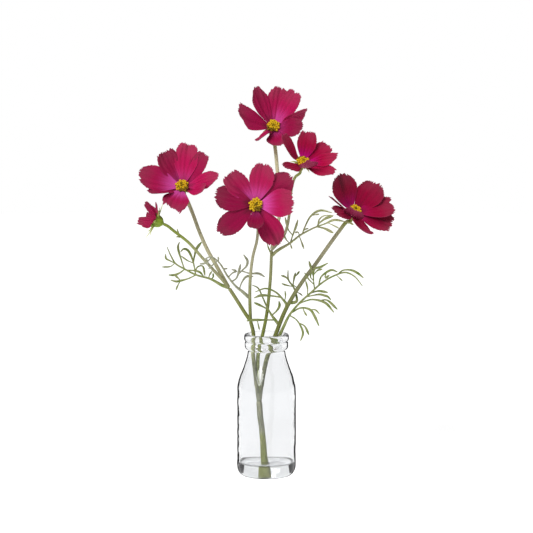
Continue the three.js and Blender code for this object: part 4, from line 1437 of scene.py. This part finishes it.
class COSMOS_OT_petals(bpy.types.Operator):
    """Adds the petals of the blooms and of the half-open bud"""

    bl_idname = "cosmos.petals"
    bl_label = "Add Petals"

    def execute(self, context):
        petals = context.scene.cosmos_petals
        paints = {
            "crimson": petal_paint(
                "crimson petals", petals.bright_colour, petals.deep_colour, petals.pink_colour
            ),
            "red": petal_paint(
                "red petals", petals.red_bright_colour, petals.red_deep_colour, petals.magenta_colour
            ),
            "wine": petal_paint(
                "wine petals", petals.dark_bright_colour, petals.dark_deep_colour, petals.magenta_colour
            ),
        }
        for name, bloom in BLOOMS.items():
            blades = [petal_sheet(name, k, petals) for k in range(len(bloom["petals"]))]
            piece = join(name + "_blades", [*blades, hub(name)])
            slot = "petal_dark" if bloom["dye"] == "wine" else "petal_crimson"
            fit_out(piece, slot, paints[bloom["dye"]], name + "_petals")
        return {"FINISHED"}


class COSMOS_OT_discs(bpy.types.Operator):
    """Adds the yellow discs in the middle of the open blooms"""

    bl_idname = "cosmos.discs"
    bl_label = "Add Discs"

    def execute(self, context):
        paint = disc_paint(context.scene.cosmos_petals)
        for name in BLOOMS:
            if name != "bud":
                fit_out(disc_piece(name), "disc_yellow", paint, name + "_disc", sharp=50)
        return {"FINISHED"}


class COSMOS_OT_calyces(bpy.types.Operator):
    """Adds the green calyx behind each bloom"""

    bl_idname = "cosmos.calyces"
    bl_label = "Add Calyces"

    def execute(self, context):
        paint = calyx_paint(context.scene.cosmos_greens)
        for name in BLOOMS:
            fit_out(calyx_piece(name), "calyx_green", paint, name + "_calyx")
        return {"FINISHED"}


AIR_LIGHT = 0.28  # strength of the white surroundings as a source of light


def soft_light(name, strength, spread, place):
    """A broad, distant lamp that shines from a place towards the bottle."""
    lamp = bpy.data.lights.new(name, "SUN")
    lamp.energy = strength * math.pi
    lamp.angle = math.radians(spread)
    holder = bpy.data.objects.new(name, lamp)
    holder.visible_glossy = False
    holder.location = place
    holder.rotation_euler = Vector(place).to_track_quat("Z", "Y").to_euler()
    bpy.context.scene.collection.objects.link(holder)


def studio_air():
    """White surroundings, dimmer as a source of light than as a backdrop."""
    world = bpy.data.worlds.new("studio")
    bpy.context.scene.world = world
    world.use_nodes = True
    nodes, links = world.node_tree.nodes, world.node_tree.links
    path = nodes.new("ShaderNodeLightPath")
    clear = nodes.new("ShaderNodeMath")
    clear.operation = "MAXIMUM"
    links.new(path.outputs["Is Camera Ray"], clear.inputs[0])
    links.new(path.outputs["Is Transmission Ray"], clear.inputs[1])
    level = nodes.new("ShaderNodeMapRange")
    level.inputs["To Min"].default_value = AIR_LIGHT
    level.inputs["To Max"].default_value = 1.0
    links.new(clear.outputs[0], level.inputs["Value"])
    backdrop = nodes["Background"]
    backdrop.inputs["Color"].default_value = (1, 1, 1, 1)
    links.new(level.outputs[0], backdrop.inputs["Strength"])


class COSMOS_OT_stage(bpy.types.Operator):
    """Adds the pale floor, the light and the camera"""

    bl_idname = "cosmos.stage"
    bl_label = "Add Stage"

    def execute(self, context):
        stage = context.scene.cosmos_stage
        bpy.ops.object.select_all(action="DESELECT")
        bpy.ops.mesh.primitive_circle_add(
            vertices=96, radius=stage.floor_radius, fill_type="NGON", location=(0, 0, 0)
        )
        floor = bpy.context.object
        floor.name = "floor"
        floor.data.materials.append(floor_paint(stage))
        studio_air()
        soft_light("key", strength=0.72, spread=30, place=(-0.9, -1.3, 1.3))
        soft_light("top", strength=0.35, spread=40, place=(0.3, 0.5, 2))
        camera = bpy.data.cameras.new("camera")
        camera.lens = camera.sensor_width * stage.camera_distance / (VIEW_WIDTH * MM)
        holder = bpy.data.objects.new("camera", camera)
        target = Vector((0, 0, SIGHT_HEIGHT * MM))
        back = Vector((0, -math.cos(SIGHT_TILT), math.sin(SIGHT_TILT)))
        holder.location = target + stage.camera_distance * back
        holder.rotation_euler = (-back).to_track_quat("-Z", "Y").to_euler()
        context.scene.collection.objects.link(holder)
        context.scene.camera = holder
        context.scene.view_settings.view_transform = "Standard"
        return {"FINISHED"}


class COSMOS_PT_panel(bpy.types.Panel):
    """Lists the settings and the pieces of the spray"""

    bl_label = "Cosmos Spray"
    bl_idname = "COSMOS_PT_panel"
    bl_space_type = "VIEW_3D"
    bl_region_type = "UI"
    bl_category = "Cosmos"

    def draw(self, context):
        for group in SETTINGS:
            box = self.layout.box()
            values = getattr(context.scene, group)
            for name in values.bl_rna.properties.keys():
                if name not in ("rna_type", "name"):
                    box.prop(values, name)
        for operator in OPERATORS:
            self.layout.operator(operator.bl_idname)


SETTINGS = {
    "cosmos_glass": CosmosGlassSettings,
    "cosmos_petals": CosmosPetalSettings,
    "cosmos_greens": CosmosGreenSettings,
    "cosmos_stage": CosmosStageSettings,
}
OPERATORS = (
    COSMOS_OT_bottle,
    COSMOS_OT_water,
    COSMOS_OT_stem,
    COSMOS_OT_leaves,
    COSMOS_OT_petals,
    COSMOS_OT_discs,
    COSMOS_OT_calyces,
    COSMOS_OT_stage,
)


def register():
    """Adds the settings to the scene, and the operators and the panel."""
    for group, kind in SETTINGS.items():
        bpy.utils.register_class(kind)
        setattr(bpy.types.Scene, group, bpy.props.PointerProperty(type=kind))
    for kind in (*OPERATORS, COSMOS_PT_panel):
        bpy.utils.register_class(kind)


def unregister():
    """Takes away what register adds."""
    for kind in (COSMOS_PT_panel, *reversed(OPERATORS)):
        bpy.utils.unregister_class(kind)
    for group, kind in reversed(SETTINGS.items()):
        delattr(bpy.types.Scene, group)
        bpy.utils.unregister_class(kind)


def main():
    """Builds the whole spray."""
    register()
    for operator in OPERATORS:
        group, name = operator.bl_idname.split(".")
        getattr(getattr(bpy.ops, group), name)()


if __name__ == "__main__":
    main()
